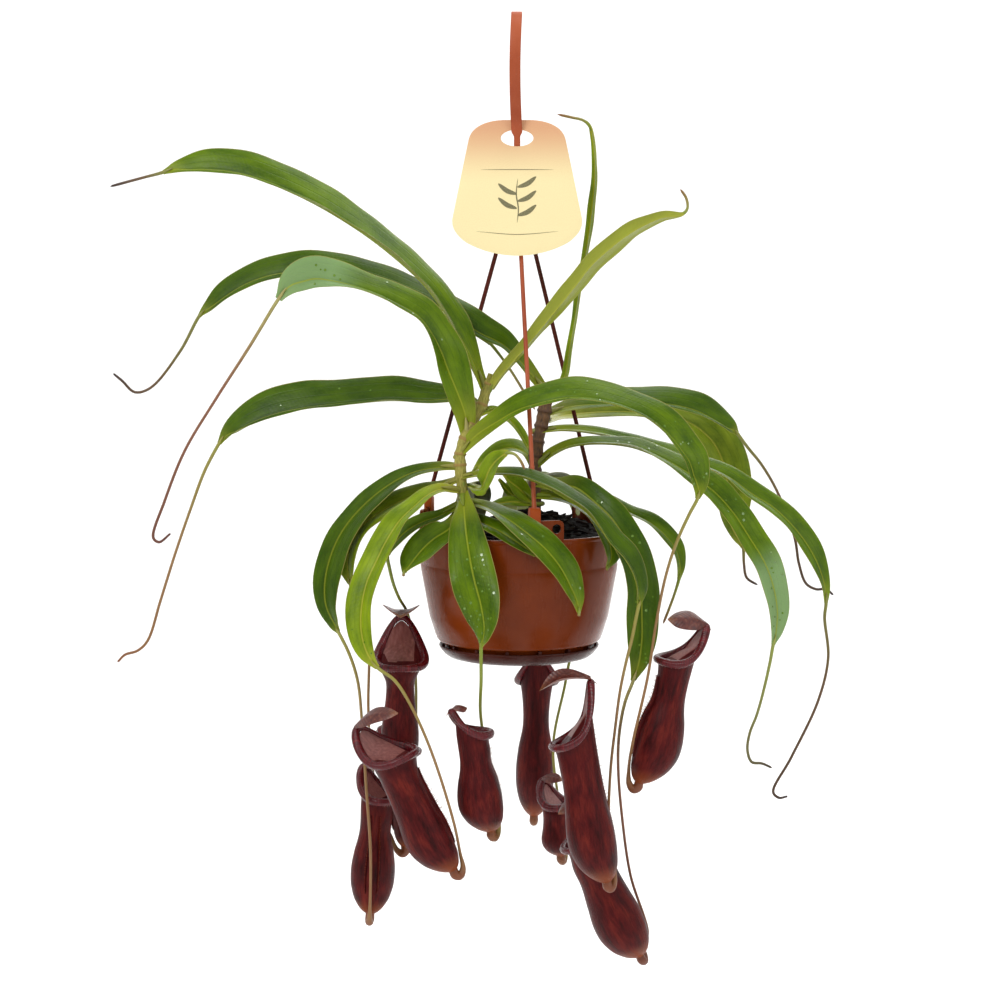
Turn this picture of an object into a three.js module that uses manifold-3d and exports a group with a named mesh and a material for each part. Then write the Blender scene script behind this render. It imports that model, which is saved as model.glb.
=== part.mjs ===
// A pitcher plant (Nepenthes) in a hanging pot. Millimetres, +Z up.
// The origin is where the hook hangs: the middle of the flat underside of its crown.
import * as THREE from 'three';
import { mergeVertices } from 'three/addons/utils/BufferGeometryUtils.js';
import Module from 'manifold-3d';

const wasm = await Module();
wasm.setup();

// ---------- driving dimensions ----------

const HANGING_DROP = 354.8; // from the flat underside of the hook's crown down to the pot's rim
const GAP = 0.3; // clearance between pieces that touch
const WELD = 0.03; // corners closer than this are one

const POT = {
  height: 84,
  sides: 28,
  drainHoles: 6,
  drainRadius: 3,
  drainSides: 6,
  drainRing: 30,
  ledge: -77.9, // the step that the saucer's pegs meet
};

const EAR = {
  azimuth: 15, // the front ear, degrees to the right of straight ahead
  radius: 67.9,
  width: 25,
  foot: -4,
  height: 13,
  thickness: 2.2,
  cornerRight: 5,
  cornerLeft: 2,
  holeRadius: 3.2,
  holeAcross: 7.5,
  holeUp: 7.2,
};

const CLIP = { across: -8, width: 7.4, depth: 5.4, bottom: 5, top: 22 };

const STRAND = { radius: 1.5, count: 3 };

const HUB = { x: -1.5, depth: 0.8, radius: 5.2, bottom: 236.5, top: 243, strandRing: 2.7 };

const STRAP = { width: 7.6, neckWidth: 4.4, thickness: 2.2 };

const TAG = {
  thickness: 0.8,
  topCorner: [8, 13], // where its level top edge ends, across and up from the hole's middle
  lean: 13.9, // degrees, with its lower edge forward
  holeHeight: 271.3,
  holeDepth: -1.6,
  holeHalfWidth: 11.2,
  holeHalfHeight: 5.9,
  holeSides: 16,
};

const SAUCER = {
  rimRadius: 56,
  rimHeight: -80.5,
  pegs: 15,
  pegRing: 53.6,
  pegWidth: 2.2,
  pegDepth: 1.8,
  pegLength: 5,
  firstPeg: -9, // degrees
};

const SOIL = {
  radius: 66.4,
  sides: 24,
  edge: -5,
  dome: 4,
  heap: 13,
  heapX: 8,
  heapY: 12,
  heapRadius: 34,
  rings: [3, 16, 30, 45, 59],
};

// The eye that the front view is seen from, looking down by VIEW_TILT.
const EYE = new THREE.Vector3(-13.3, -1800, 198);
const VIEW_TILT = THREE.MathUtils.degToRad(5.63);

// ---------- materials ----------

const material = (color, roughness) =>
  new THREE.MeshStandardMaterial({ color, roughness, metalness: 0 });

const leafGreen = material(0x4f7d1e, 0.45);
const stemGreen = material(0x8a8a35, 0.6);
const stemBrown = material(0x5c4228, 0.75);
const pitcherRed = material(0x4a0d12, 0.4);
const potBrown = material(0x9a3f1c, 0.4);
const hangerBrown = material(0xb5613f, 0.45);
const tagCream = material(0xf0d9ae, 0.8);
const soilBlack = material(0x1d1712, 0.95);

// ---------- the front view ----------

// A point is laid out as it shows from the front: across and up in the plane that faces the eye
// through the middle of the rim, then moved along the line of sight to its depth behind that middle.
function place([across, up, depth]) {
  const shown = new THREE.Vector3(across, up * Math.sin(VIEW_TILT), up * Math.cos(VIEW_TILT));
  const sight = shown.sub(EYE);
  return sight.multiplyScalar((depth - EYE.y) / sight.y).add(EYE);
}

// ---------- solids ----------

function geometryFrom(positions, indices) {
  const geometry = new THREE.BufferGeometry();
  geometry.setAttribute('position', new THREE.Float32BufferAttribute(positions, 3));
  geometry.setIndex(indices);
  return geometry;
}

function signedVolume(geometry) {
  const position = geometry.getAttribute('position');
  const index = geometry.getIndex();
  const corners = [new THREE.Vector3(), new THREE.Vector3(), new THREE.Vector3()];
  let volume = 0;
  for (let i = 0; i < index.count; i += 3) {
    corners.forEach((corner, k) => corner.fromBufferAttribute(position, index.getX(i + k)));
    volume += corners[0].dot(corners[1].cross(corners[2]));
  }
  return volume;
}

function facingOut(geometry) {
  if (signedVolume(geometry) > 0) return geometry;
  const index = geometry.getIndex();
  for (let i = 0; i < index.count; i += 3) {
    const first = index.getX(i);
    index.setX(i, index.getX(i + 1));
    index.setX(i + 1, first);
  }
  return geometry;
}

// A closed skin over rings of equally many points. Columns in `flipped` are split along the other
// diagonal, so that both faces of a thin blade are split alike.
function loft(rings, flipped = []) {
  const count = rings[0].length;
  const positions = [];
  const indices = [];
  for (const ring of rings) {
    for (const point of ring) positions.push(point.x, point.y, point.z);
  }
  for (let i = 0; i + 1 < rings.length; i += 1) {
    for (let k = 0; k < count; k += 1) {
      const a = i * count + k;
      const b = i * count + ((k + 1) % count);
      const c = b + count;
      const d = a + count;
      if (flipped.includes(k)) indices.push(a, b, d, b, c, d);
      else indices.push(a, b, c, a, c, d);
    }
  }
  const last = (rings.length - 1) * count;
  for (let k = 1; k + 1 < count; k += 1) {
    indices.push(0, k + 1, k);
    indices.push(last, last + k, last + k + 1);
  }
  return facingOut(geometryFrom(positions, indices));
}

function solidFrom(geometry) {
  const bare = geometry.clone();
  bare.deleteAttribute('normal');
  bare.deleteAttribute('uv');
  const merged = facingOut(mergeVertices(bare, 1e-4));
  return new wasm.Manifold(
    new wasm.Mesh({
      numProp: 3,
      vertProperties: new Float32Array(merged.getAttribute('position').array),
      triVerts: new Uint32Array(merged.getIndex().array),
    }),
  );
}

// The solid's skin, with corners that nearly meet made one and the slivers between them dropped.
function geometryOf(solid) {
  const { vertProperties, triVerts } = solid.getMesh();
  const skin = geometryFrom(Array.from(vertProperties), Array.from(triVerts));
  const welded = mergeVertices(skin, WELD);
  const corners = Array.from(welded.getIndex().array);
  const kept = [];
  for (let i = 0; i < corners.length; i += 3) {
    const [a, b, c] = corners.slice(i, i + 3);
    if (a !== b && b !== c && c !== a) kept.push(a, b, c);
  }
  return geometryFrom(Array.from(welded.getAttribute('position').array), kept);
}

function largestOf(solid) {
  const parts = solid.decompose();
  return parts.reduce((best, part) => (part.volume() > best.volume() ? part : best));
}

function joined(solids) {
  return solids.reduce((whole, solid) => whole.add(solid));
}

function boxSolid(width, depth, height, x, y, z) {
  const box = new THREE.BoxGeometry(width, depth, height);
  box.translate(x, y, z);
  return solidFrom(box);
}

// ---------- curves and tubes ----------

function curveThrough(points) {
  return new THREE.CatmullRomCurve3(points, false, 'centripetal');
}

function squareTo(direction, tangent) {
  return direction.clone().addScaledVector(tangent, -direction.dot(tangent)).normalize();
}

// Rings along a curve, with their sides kept from twisting.
function tubeRings(curve, stations, sides, radiusAt) {
  const rings = [];
  let normal = new THREE.Vector3(0.31, 0.87, 0.38);
  for (let i = 0; i <= stations; i += 1) {
    const t = i / stations;
    const centre = curve.getPoint(t);
    const tangent = curve.getTangent(t);
    normal = squareTo(normal, tangent);
    const side = new THREE.Vector3().crossVectors(tangent, normal);
    const radius = radiusAt(t);
    const ring = [];
    for (let k = 0; k < sides; k += 1) {
      const angle = (2 * Math.PI * k) / sides;
      const point = centre.clone();
      point.addScaledVector(normal, radius * Math.cos(angle));
      point.addScaledVector(side, radius * Math.sin(angle));
      ring.push(point);
    }
    rings.push(ring);
  }
  return rings;
}

function along(values, t) {
  const spot = Math.min(Math.max(t, 0), 1) * (values.length - 1);
  const low = Math.min(Math.floor(spot), values.length - 2);
  return values[low] + (values[low + 1] - values[low]) * (spot - low);
}

// ---------- stems ----------

const STEMS = {
  left: {
    route: [
      [-38, -22, -32], [-39, 17, -32], [-41, 43, -31], [-41, 54, -30], [-37, 66, -29],
      [-32, 76, -27], [-26, 87, -24], [-23, 98, -21], [-20, 109, -20],
    ],
    radii: [3.4, 3.5, 4.0, 3.6, 3.9, 3.5, 3.8, 3.3, 1.4],
    skin: stemGreen,
  },
  right: {
    route: [
      [11, -24, 2], [11, 20, 2], [11, 40, 3], [12, 54, 4], [14, 66, 4], [17, 78, 5],
      [19, 90, 5], [21, 101, 5],
    ],
    radii: [4.4, 4.6, 4.3, 4.9, 4.2, 4.8, 4.4, 3.4],
    skin: stemBrown,
  },
};

function stemGeometry(stem, extra) {
  const curve = curveThrough(stem.route.map(place));
  const radiusAt = (t) => along(stem.radii, t) + extra;
  return loft(tubeRings(curve, 16, 8, radiusAt));
}

const stemClearance = {};
for (const [side, stem] of Object.entries(STEMS)) {
  stemClearance[side] = solidFrom(stemGeometry(stem, GAP));
}

// ---------- pitchers ----------

// base is the lowest point of the jug's axis and mouth the middle of its rim. tendril and lip are
// the headings, in plan, of the side the tendril comes down and of the lowest part of the rim:
// 0 is right, 90 is back. bulge, waist and rim are radii.
const PITCHERS = {
  a: { base: [-83.5, -172, -48], mouth: [-83, -90, -45], tendril: 80, lip: 270,
    bulge: 13, waist: 10, rim: 15.5, neck: 19 },
  b: { base: [-52, -243, -100], mouth: [-91, -157, -96], tendril: 15, lip: 325,
    bulge: 15.5, waist: 13, rim: 16.3, neck: 15 },
  c: { base: [-104, -268, -24], mouth: [-99, -184, -26], tendril: 270, lip: 330,
    bulge: 15.5, waist: 11, rim: 12, neck: 10 },
  d: { base: [-74, -222, -4], mouth: [-83, -153, -4], tendril: 180, lip: 0,
    bulge: 12.5, waist: 10, rim: 11.5, neck: 9 },
  e: { base: [-24.5, -214, -88], mouth: [-33, -140, -90], tendril: 45, lip: 15,
    bulge: 15.2, waist: 10.6, rim: 11.5, neck: 8 },
  f: { base: [10.5, -203, 87], mouth: [12.5, -104, 86], tendril: 90, lip: 90,
    bulge: 14.2, waist: 9.8, rim: 12.5, neck: 12 },
  g: { base: [27, -230, 40], mouth: [25, -190, 40], tendril: 60, lip: 320,
    bulge: 11, waist: 9, rim: 9.5, neck: 9 },
  h: { base: [56, -250, -86], mouth: [39, -144, -84], tendril: 40, lip: 185,
    bulge: 16.4, waist: 13.4, rim: 15.5, neck: 26 },
  i: { base: [82, -303, -40], mouth: [43, -214, -42], tendril: 60, lip: 200,
    bulge: 17.6, waist: 14, rim: 14, neck: 12 },
  j: { base: [91, -180, -58], mouth: [112, -89, -58], tendril: 180, lip: 195,
    bulge: 16, waist: 10.8, rim: 13.5, neck: 17 },
};

// footShift is how far the foot lies towards the tendril, as a share of the bulge. Rings of the jug
// are at shares of its length; lip lists the rolled rim's rings as [out, rise] from the rim's edge.
const JUG = {
  sides: 10,
  wall: 1.2,
  footShift: 0.45,
  footRadius: 1.4,
  shiftEnd: 0.34,
  lipTilt: 0.42,
  saddle: 1.5,
  outer: [0, 0.06, 0.18, 0.34, 0.66, 0.88],
  lip: [[1.9, -1.6], [2.3, 0.5], [0.4, 1.4], [-1.6, -0.6]],
  inner: [0.8, 0.4, 0.14],
};

// Height along the jug as a share of its length, radius between foot, bulge, waist and rim.
function jugRadius(pitcher, share) {
  const { bulge, waist, rim } = pitcher;
  const heights = [0, 0.03, 0.09, 0.2, 0.34, 0.5, 0.66, 0.82, 0.95, 1];
  const radii = [
    JUG.footRadius, bulge * 0.36, bulge * 0.66, bulge * 0.92, bulge, bulge * 0.9,
    waist, waist * 1.02, rim * 0.93, rim,
  ];
  const next = Math.max(1, heights.findIndex((height) => height >= share));
  const part = (share - heights[next - 1]) / (heights[next] - heights[next - 1]);
  return radii[next - 1] + (radii[next] - radii[next - 1]) * part;
}

function heading(degrees) {
  const angle = THREE.MathUtils.degToRad(degrees);
  return new THREE.Vector3(Math.cos(angle), Math.sin(angle), 0);
}

function pitcherFrame(pitcher) {
  const base = place(pitcher.base);
  const mouth = place(pitcher.mouth);
  const length = mouth.distanceTo(base);
  const up = mouth.clone().sub(base).normalize();
  const front = squareTo(heading(pitcher.tendril), up);
  const side = new THREE.Vector3().crossVectors(up, front);
  const lip = squareTo(heading(pitcher.lip), up);
  const lipAngle = Math.atan2(lip.dot(side), lip.dot(front));
  const foot = base.clone().addScaledVector(front, pitcher.bulge * JUG.footShift);
  return { base, length, up, front, side, lipAngle, foot };
}

// How far the rim stands above the middle of the mouth, by the angle from its lowest part.
function rimLift(pitcher, turn) {
  const slope = -JUG.lipTilt * pitcher.rim * Math.cos(turn);
  const neck = pitcher.neck * ((1 - Math.cos(turn)) / 2) ** 5;
  return slope + neck + JUG.saddle * Math.cos(2 * turn);
}

// One ring of the jug: its height as a share of the length, and how far it stands out from the
// jug's outer surface and above its own height.
function jugRing(pitcher, frame, share, out, rise) {
  const ring = [];
  const shift = pitcher.bulge * JUG.footShift * (1 - Math.min(share / JUG.shiftEnd, 1)) ** 2;
  const radius = Math.max(jugRadius(pitcher, share) + out, 0.3);
  const tilt = THREE.MathUtils.smoothstep(share, 0.55, 1);
  for (let k = 0; k < JUG.sides; k += 1) {
    const turn = (2 * Math.PI * k) / JUG.sides;
    const angle = frame.lipAngle + turn;
    const lift = tilt * rimLift(pitcher, turn);
    const point = frame.base.clone();
    point.addScaledVector(frame.up, share * frame.length + rise + lift);
    point.addScaledVector(frame.front, shift + radius * Math.cos(angle));
    point.addScaledVector(frame.side, radius * Math.sin(angle));
    ring.push(point);
  }
  return ring;
}

function jugGeometry(pitcher, frame) {
  const ring = (share, out, rise) => jugRing(pitcher, frame, share, out, rise);
  return loft([
    ...JUG.outer.map((share) => ring(share, 0, 0)),
    ...JUG.lip.map(([out, rise]) => ring(1, out, rise)),
    ...JUG.inner.map((share) => ring(share, -JUG.wall, 0)),
  ]);
}

// Its length and half width are shares of the rim's radius; sections are [share of the length,
// share of the half width].
const LID = {
  length: 1.7,
  halfWidth: 0.42,
  thickness: 1,
  rise: 1.2,
  arch: 0.12,
  droop: 0.25,
  sections: [[-0.04, 0.3], [0.2, 0.7], [0.5, 1], [0.8, 0.7], [1, 0.12]],
};

// The lid: a narrow pointed plate from the top of the neck out over the mouth.
function lidGeometry(pitcher, frame) {
  const back = frame.lipAngle + Math.PI;
  const outward = frame.front.clone().multiplyScalar(Math.cos(frame.lipAngle));
  outward.addScaledVector(frame.side, Math.sin(frame.lipAngle));
  const across = new THREE.Vector3().crossVectors(frame.up, outward);
  const hinge = frame.base.clone();
  hinge.addScaledVector(frame.up, frame.length + rimLift(pitcher, back - frame.lipAngle));
  hinge.addScaledVector(outward, -pitcher.rim);
  const reach = pitcher.rim * LID.length;
  const widest = pitcher.rim * LID.halfWidth;
  return loft(LID.sections.map(([share, width]) => {
    const middle = hinge.clone().addScaledVector(outward, reach * share);
    middle.addScaledVector(frame.up, LID.rise + reach * LID.arch * Math.sin(Math.PI * share));
    const half = widest * width;
    const ring = [[-half, 0], [0, LID.thickness], [half, 0], [0, -LID.thickness / 2]];
    return ring.map(([sideways, height]) => {
      const point = middle.clone().addScaledVector(across, sideways);
      return point.addScaledVector(frame.up, height - (LID.droop * sideways ** 2) / widest);
    });
  }));
}

const WING = { angle: 16, height: 2.6, thickness: 1.4, teeth: 4, from: 0.28, to: 0.86 };

// One toothed wing that runs down the side of the jug that faces the tendril.
function wingGeometry(pitcher, frame, turn) {
  const angle = THREE.MathUtils.degToRad(turn);
  const outward = frame.front.clone().multiplyScalar(Math.cos(angle));
  outward.addScaledVector(frame.side, Math.sin(angle));
  const across = new THREE.Vector3().crossVectors(frame.up, outward).setLength(WING.thickness / 2);
  const rings = [];
  for (let i = 0; i <= WING.teeth * 2; i += 1) {
    const share = WING.from + ((WING.to - WING.from) * i) / (WING.teeth * 2);
    const tilt = THREE.MathUtils.smoothstep(share, 0.55, 1);
    const lift = tilt * rimLift(pitcher, angle - frame.lipAngle);
    const radius = jugRadius(pitcher, share) * Math.cos(Math.PI / JUG.sides);
    const tooth = i % 2 === 1 ? WING.height : WING.height * 0.55;
    const root = frame.base.clone().addScaledVector(frame.up, share * frame.length + lift);
    const inner = root.clone().addScaledVector(outward, radius - 0.5);
    const outer = root.clone().addScaledVector(outward, radius + tooth);
    rings.push([inner.clone().add(across), outer, inner.clone().sub(across)]);
  }
  return loft(rings);
}

function pitcherSolid(pitcher) {
  const frame = pitcherFrame(pitcher);
  const solids = [jugGeometry(pitcher, frame), lidGeometry(pitcher, frame)];
  solids.push(wingGeometry(pitcher, frame, WING.angle), wingGeometry(pitcher, frame, -WING.angle));
  return joined(solids.map(solidFrom));
}

// ---------- leaves ----------

// blade is the line midway between the blade's edges and tendril the line it runs on in, both laid
// out in the front view. The fourth number on the blade is how wide it shows there; the rest of its
// true width is turned out of sight. A negative one shows the underside. A leaf without that number
// runs away from the eye and keeps level across. side is 1 where the leaf leans to the left and -1
// to the right. A pitcher hangs on the tendril's end.
const LEAVES = [
  // Upper leaves of the left stem.
  { stem: 'left', side: 1, width: 24,
    blade: [[-24, 99, -21, 6], [-28, 111, -22, 6.5], [-34, 130, -22, 10], [-42.5, 150, -21, 12],
      [-59, 174, -19, 10.5], [-80, 194, -15, 9.5], [-110, 217.5, -8, 12.5], [-150, 241, 0, 15.5],
      [-190, 256, 7, 17.5], [-220, 258.5, 11, 15.5], [-237, 255, 13, 9], [-249, 250, 14, 3]],
    tendril: [[-262, 246.5, 15], [-275, 243, 16], [-286, 240, 17]] },
  { stem: 'left', side: -1, width: 22,
    blade: [[-20, 99, -21, -5.5], [-14.5, 108.5, -20, -6.5], [-5, 120, -19, -7.5],
      [7, 134, -18, -8.5], [21, 151, -17, -10], [37.5, 170, -16, -13], [52, 187.5, -14, -14],
      [75.5, 207.5, -10, -11.5], [87, 214, -8, -10], [101, 219.5, -7, -7], [115, 221, -6, -2.5]],
    tendril: [[118, 225, -5], [117, 232, -4], [113, 238, -4]] },
  { stem: 'left', side: 1, width: 25,
    blade: [[-36, 66, -29, 9], [-37.5, 80, -34, 15], [-41, 95, -39, 19], [-44.5, 110, -43, 22],
      [-48, 125, -46, 20.5], [-55, 140, -49, 17], [-66.5, 154.5, -52, 15.5], [-85, 165, -55, 13.5],
      [-105, 173.5, -58, 12.5], [-130, 180, -62, 18], [-146, 180, -64, 22], [-159, 173.5, -65, 18],
      [-168.5, 161, -66, 4]],
    tendril: [[-188, 129, -68], [-213, 90, -72], [-234, 55, -74], [-248, 20, -75],
      [-256, -6, -75], [-252, -9, -75], [-244, -3, -75]] },
  { stem: 'left', side: 1, width: 27,
    blade: [[-27, 86, -24, 5], [-40, 93, -17, 9], [-60, 96, -9, 15], [-90, 99, -2, 17],
      [-120, 97, 4, 18], [-150, 94, 7, 20], [-172, 89.5, 9, 20], [-191, 81, 10, 16],
      [-203, 71, 10, 9], [-210, 60, 10, 3]],
    tendril: [[-220, 41, 9], [-230, 14, 8], [-241, -18, 6], [-251, -50, 5], [-260, -78, 5],
      [-267, -85, 5], [-276, -88, 5], [-281, -93, 5]] },
  // The leaf that crosses in front of both stems.
  { stem: 'left', side: -1, width: 25, pitcher: 'j',
    blade: [[-42, 53, -30, 5], [-32, 65, -38, 10.5], [-18, 76.5, -48, 11], [-2, 88, -56, 12],
      [15, 95, -62, 14.5], [35, 99, -66, 16], [55, 98, -68, 14], [73, 93.5, -70, 13],
      [92.5, 85.5, -71, 14], [108, 73.5, -72, 16], [119, 60, -72, 15.5], [125, 50, -72, 16],
      [127, 40, -71, 13.5], [127, 30, -70, 9.5], [125, 21.5, -69, 3]],
    tendril: [[119.5, 11, -68], [112.5, -4, -67], [106.5, -20, -66], [101.5, -38, -66],
      [96, -66, -68], [90, -104, -70], [79.5, -150, -70]] },
  // Lower leaves of the left stem, to the left.
  { stem: 'left', side: 1, width: 24, pitcher: 'c',
    blade: [[-43, 44, -30, 5], [-55, 44.5, -24, 6.5], [-72, 42, -20, 8], [-90, 33, -16, 12],
      [-107, 19.5, -12, 14], [-122, 1, -9, 18], [-131, -18, -7, 19], [-135.5, -38, -6, 18],
      [-135, -54, -8, 14], [-130, -66, -11, 7], [-126.5, -72, -14, 3]],
    tendril: [[-119, -87, -20], [-113, -106, -27], [-110, -134, -36], [-107, -180, -44],
      [-104, -225, -47]] },
  { stem: 'left', side: 1, width: 22, pitcher: 'd',
    blade: [[-43, 35, -30, 4.5], [-55, 31, -23, 6], [-68, 28, -20, 9], [-82, 23, -16, 11.5],
      [-97, 15, -12, 14], [-110, 5.5, -9, 15.5], [-119, -8, -6, 14.5], [-122, -20, -4, 13],
      [-121, -30, -2, 9], [-118.5, -38, 0, 3]],
    tendril: [[-113, -48, 0], [-107, -60, 1], [-104.5, -76, 1], [-105, -98, 0], [-105.5, -125, -1],
      [-103, -165, -2], [-94, -205, -3]] },
  { stem: 'left', side: 1, width: 24, pitcher: 'b',
    blade: [[-43.5, 28, -35, 5], [-54, 29.5, -42, 6], [-65, 26, -50, 8], [-76, 17.5, -58, 10],
      [-86, 8, -66, 13], [-95, -6, -72, 16.5], [-102, -20, -78, 16], [-109, -36, -83, 17],
      [-112.5, -54, -87, 17], [-112, -72, -91, 16], [-107, -87, -94, 11], [-99, -97, -95, 3]],
    tendril: [[-87, -106, -96], [-76, -123, -99], [-62, -154, -103], [-46, -204, -104]] },
  { stem: 'left', side: 1, width: 15, pitcher: 'a',
    blade: [[-42, 18, -32, 5], [-55, 11, -38, 6], [-68, 7, -41, 8], [-80, 0, -44, 10],
      [-88, -9, -46, 8], [-92, -18, -48, 3]],
    tendril: [[-90.5, -28, -47], [-88, -38, -45], [-84, -48, -38], [-78, -59, -25], [-74, -80, -19],
      [-72, -120, -20], [-74, -150, -25]] },
  { stem: 'left', side: 1, width: 22,
    blade: [[-42, 13, -34, 6], [-49, 2, -52, 14], [-60, -5, -57, 19], [-70, -14, -66, 18.5],
      [-77, -22.5, -72, 12], [-80.5, -30, -75, 2.5]],
    tendril: [[-81, -33, -76]] },
  // Lower leaves of the left stem, to the front and to the right.
  { stem: 'left', side: 1, width: 31, fold: 0.16, pitcher: 'e',
    blade: [[-39.5, 24, -33, 6], [-38.5, 10, -54, 18], [-37, -6, -70, 25], [-34.5, -22, -80, 29.5],
      [-31, -38, -86, 31], [-28, -52, -89, 27], [-26, -66, -91, 19], [-26, -76, -92, 8],
      [-26.5, -82, -92, 2.5]],
    tendril: [[-26.5, -105, -90], [-27, -128, -76], [-24, -150, -68], [-16, -190, -68]] },
  { stem: 'left', side: -1, width: 25,
    blade: [[-37, 20, -31, 5], [-27, 18.5, -38, 5], [-15, 14.5, -62, 8.5], [-2, 7, -79, 13.5],
      [10, -2.5, -88, 17.5], [21, -12.5, -92, 19], [31, -25, -94, 18.5], [38, -38, -94, 14.5],
      [41.5, -48, -93, 9], [42, -58, -92, 2.5]],
    tendril: [[42, -61, -92]] },
  { stem: 'left', side: -1, width: 16,
    blade: [[-38, 11, -33, 5], [-27, 7, -50, 8], [-14, 1, -69, 11], [-2, -7, -75, 11],
      [12, -18, -77, 3]],
    tendril: [[14, -20, -77]] },
  { stem: 'left', side: -1, width: 20, pitcher: 'h',
    blade: [[-41, 37, -31, 4], [-28, 39.5, -46, 4], [-12, 41.5, -60, 5], [4, 40.5, -72, 6],
      [20, 35, -80, 6.5], [36, 25.8, -85, 6.5], [50, 17, -88, 7], [60, 6, -90, 9],
      [69, -6, -91, 10], [78, -16, -91, 10.5], [84.5, -28, -90, 9.5], [87, -40, -89, 7.5],
      [85.5, -48, -88, 4.5], [84, -53, -87, 2.5]],
    tendril: [[82, -62, -86], [79, -77, -84], [75, -93, -80], [71, -112, -74], [67.5, -138, -66],
      [64, -170, -64], [63, -212, -64]] },
  { stem: 'left', side: -1, width: 15,
    blade: [[-34, 31, -30, 4], [-28, 29, -50, 6], [-26, 33.5, -66, 10], [-21.5, 43, -74, 12.5],
      [-15.5, 50, -81, 9], [-8, 53.5, -84, 4]],
    tendril: [[-3, 52.5, -86], [1, 48, -88], [4, 42, -90]] },
  { stem: 'left', side: -1, width: 12,
    blade: [[-29, 80, -27, 4], [-20, 84, -25, 5], [-12, 82, -23, 6], [-4, 76, -22, 6],
      [2, 68, -22, 5.5], [6, 60, -22, 4], [7, 56, -22, 2]],
    tendril: [[8, 52, -22]] },
  // Upper leaves of the right stem.
  { stem: 'right', side: 1, width: 24,
    blade: [[19, 96, 6, 6], [12, 106, 6, 8], [3, 119, 5, 9], [-9, 133, 2, 12.5],
      [-26, 143, -2, 16.5], [-48, 158, 1, 14], [-75, 170, 11, 14], [-105, 181, 19, 16],
      [-140, 187, 27, 17], [-172, 184, 33, 16.5], [-193, 176.5, 37, 14], [-209, 165.5, 39, 11.5],
      [-218, 156, 40, 7], [-224, 149, 40, 2.5]],
    tendril: [[-237, 125, 42], [-258, 99, 44], [-269, 96, 45], [-278, 104, 45], [-284, 109, 45]] },
  { stem: 'right', side: -1, width: 14,
    blade: [[20, 88, 5, 4], [27, 98, 5, 4], [32, 108, 6, 5], [34.5, 125, 9, 4.5],
      [37.8, 145, 13, 3.6], [41.5, 170, 19, 3.8], [46.8, 199, 26, 4.8], [50, 222, 30, 4.8],
      [52.2, 243, 34, 5], [52.3, 260, 38, 3.4], [51, 275, 41, 2.4], [49, 283, 42, 2]],
    tendril: [[44.5, 286.5, 42], [37, 288.3, 42], [27, 290.5, 42]] },
  { stem: 'right', side: -1, width: 24,
    blade: [[20, 82, 6, 5], [38, 88, 14, 9], [60, 92, 22, 12], [85, 93.5, 30, 13],
      [108, 93, 37, 15], [127, 88, 42, 15.5], [141, 80, 46, 12], [149, 73, 48, 8],
      [153, 67, 50, 3]],
    tendril: [[160, 57.5, 51], [170, 45, 53], [181, 26, 54], [193, -6, 54], [196, -24, 54],
      [201, -38, 54], [208, -42, 54], [215, -42, 54], [220, -46, 54]] },
  { stem: 'right', side: -1, width: 28,
    blade: [[18, 76, 8, 5], [35, 82, 54, 10], [70, 86, 72, 14], [100, 86, 80, 18],
      [123, 79, 85, 23], [139, 65, 88, 27], [148, 47, 89, 27], [151, 28, 90, 26],
      [151, 11, 90, 21], [154, -3, 90, 12], [157, -13, 90, 3]],
    tendril: [[157.5, -24, 90], [159.5, -34, 90], [167, -39, 90]] },
  { stem: 'right', side: -1, width: 24,
    blade: [[13, 69, 4, 4], [30, 71.5, 4, 4], [50, 70.5, 5, 5], [75, 66, 8, 5], [100, 58.5, 11, 6],
      [125, 50, 14, 8], [148, 40, 17, 9], [165, 27.5, 19, 12], [181, 17, 21, 13.5],
      [195, 3, 22, 13], [205.5, -12, 23, 13.5], [212, -26, 24, 10.5], [215.3, -40, 24, 5.5],
      [215, -52, 24, 2.5]],
    tendril: [[214, -62, 24], [216.5, -90, 24], [209.5, -120, 24], [190.5, -160, 24],
      [178, -184, 24], [182, -188, 24], [188, -187, 24]] },
  { stem: 'right', side: -1, width: 25,
    blade: [[13, 46, 2, 5], [22, 54, -4, 6], [37, 61, -10, 5.5], [58, 63.5, -16, 5],
      [80, 61.5, -20, 6], [100, 54, -24, 9], [120, 42.5, -29, 13], [138, 29, -33, 17],
      [152, 13.5, -37, 18], [164, -5, -40, 18], [174, -22, -43, 18], [180, -40, -44, 17.5],
      [182.5, -58, -44, 13.5], [181, -71, -44, 8], [178, -81, -44, 2.5]],
    tendril: [[176, -92, -44], [171.5, -112, -44], [166.5, -130, -44], [161.5, -143, -44],
      [160, -155, -44], [163, -163, -44], [170, -164, -44], [177, -167, -44]] },
  // Lower leaves of the right stem.
  { stem: 'right', side: -1, width: 25, pitcher: 'i',
    blade: [[12, 33, 2, 6], [26, 32, -18, 10], [40, 30, -36, 17], [54, 20, -50, 20],
      [67, 8, -58, 21], [77, -8, -63, 22], [84, -25, -65, 21], [87.5, -42, -66, 21.5],
      [87, -60, -65, 22], [86, -78, -62, 20], [84, -93, -58, 13], [80, -106, -53, 3]],
    tendril: [[74, -122, -46], [70, -145, -38], [69.5, -168, -30], [72, -200, -22],
      [78, -242, -18], [90, -284, -20]] },
  { stem: 'right', side: -1, width: 20,
    blade: [[13, 28, 4, 5], [40, 27, 12, 7], [62, 21, 18, 8], [80, 13.5, 22, 7], [94, 6.5, 25, 9.5],
      [105, -3, 27, 10], [112, -13, 28, 8.5], [114, -24, 28, 6], [112, -35, 28, 2.5]],
    tendril: [[109, -45, 28], [105, -56, 28], [101, -66, 28]] },
  { stem: 'right', side: -1, width: 18,
    blade: [[12, 24, 0, 5], [28, 23, -13, 6], [42, 18, -26, 7], [53, 10, -37, 8], [61, -1, -45, 10],
      [66, -12, -49, 11], [66, -20, -49, 8], [62, -27, -49, 2]],
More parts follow.
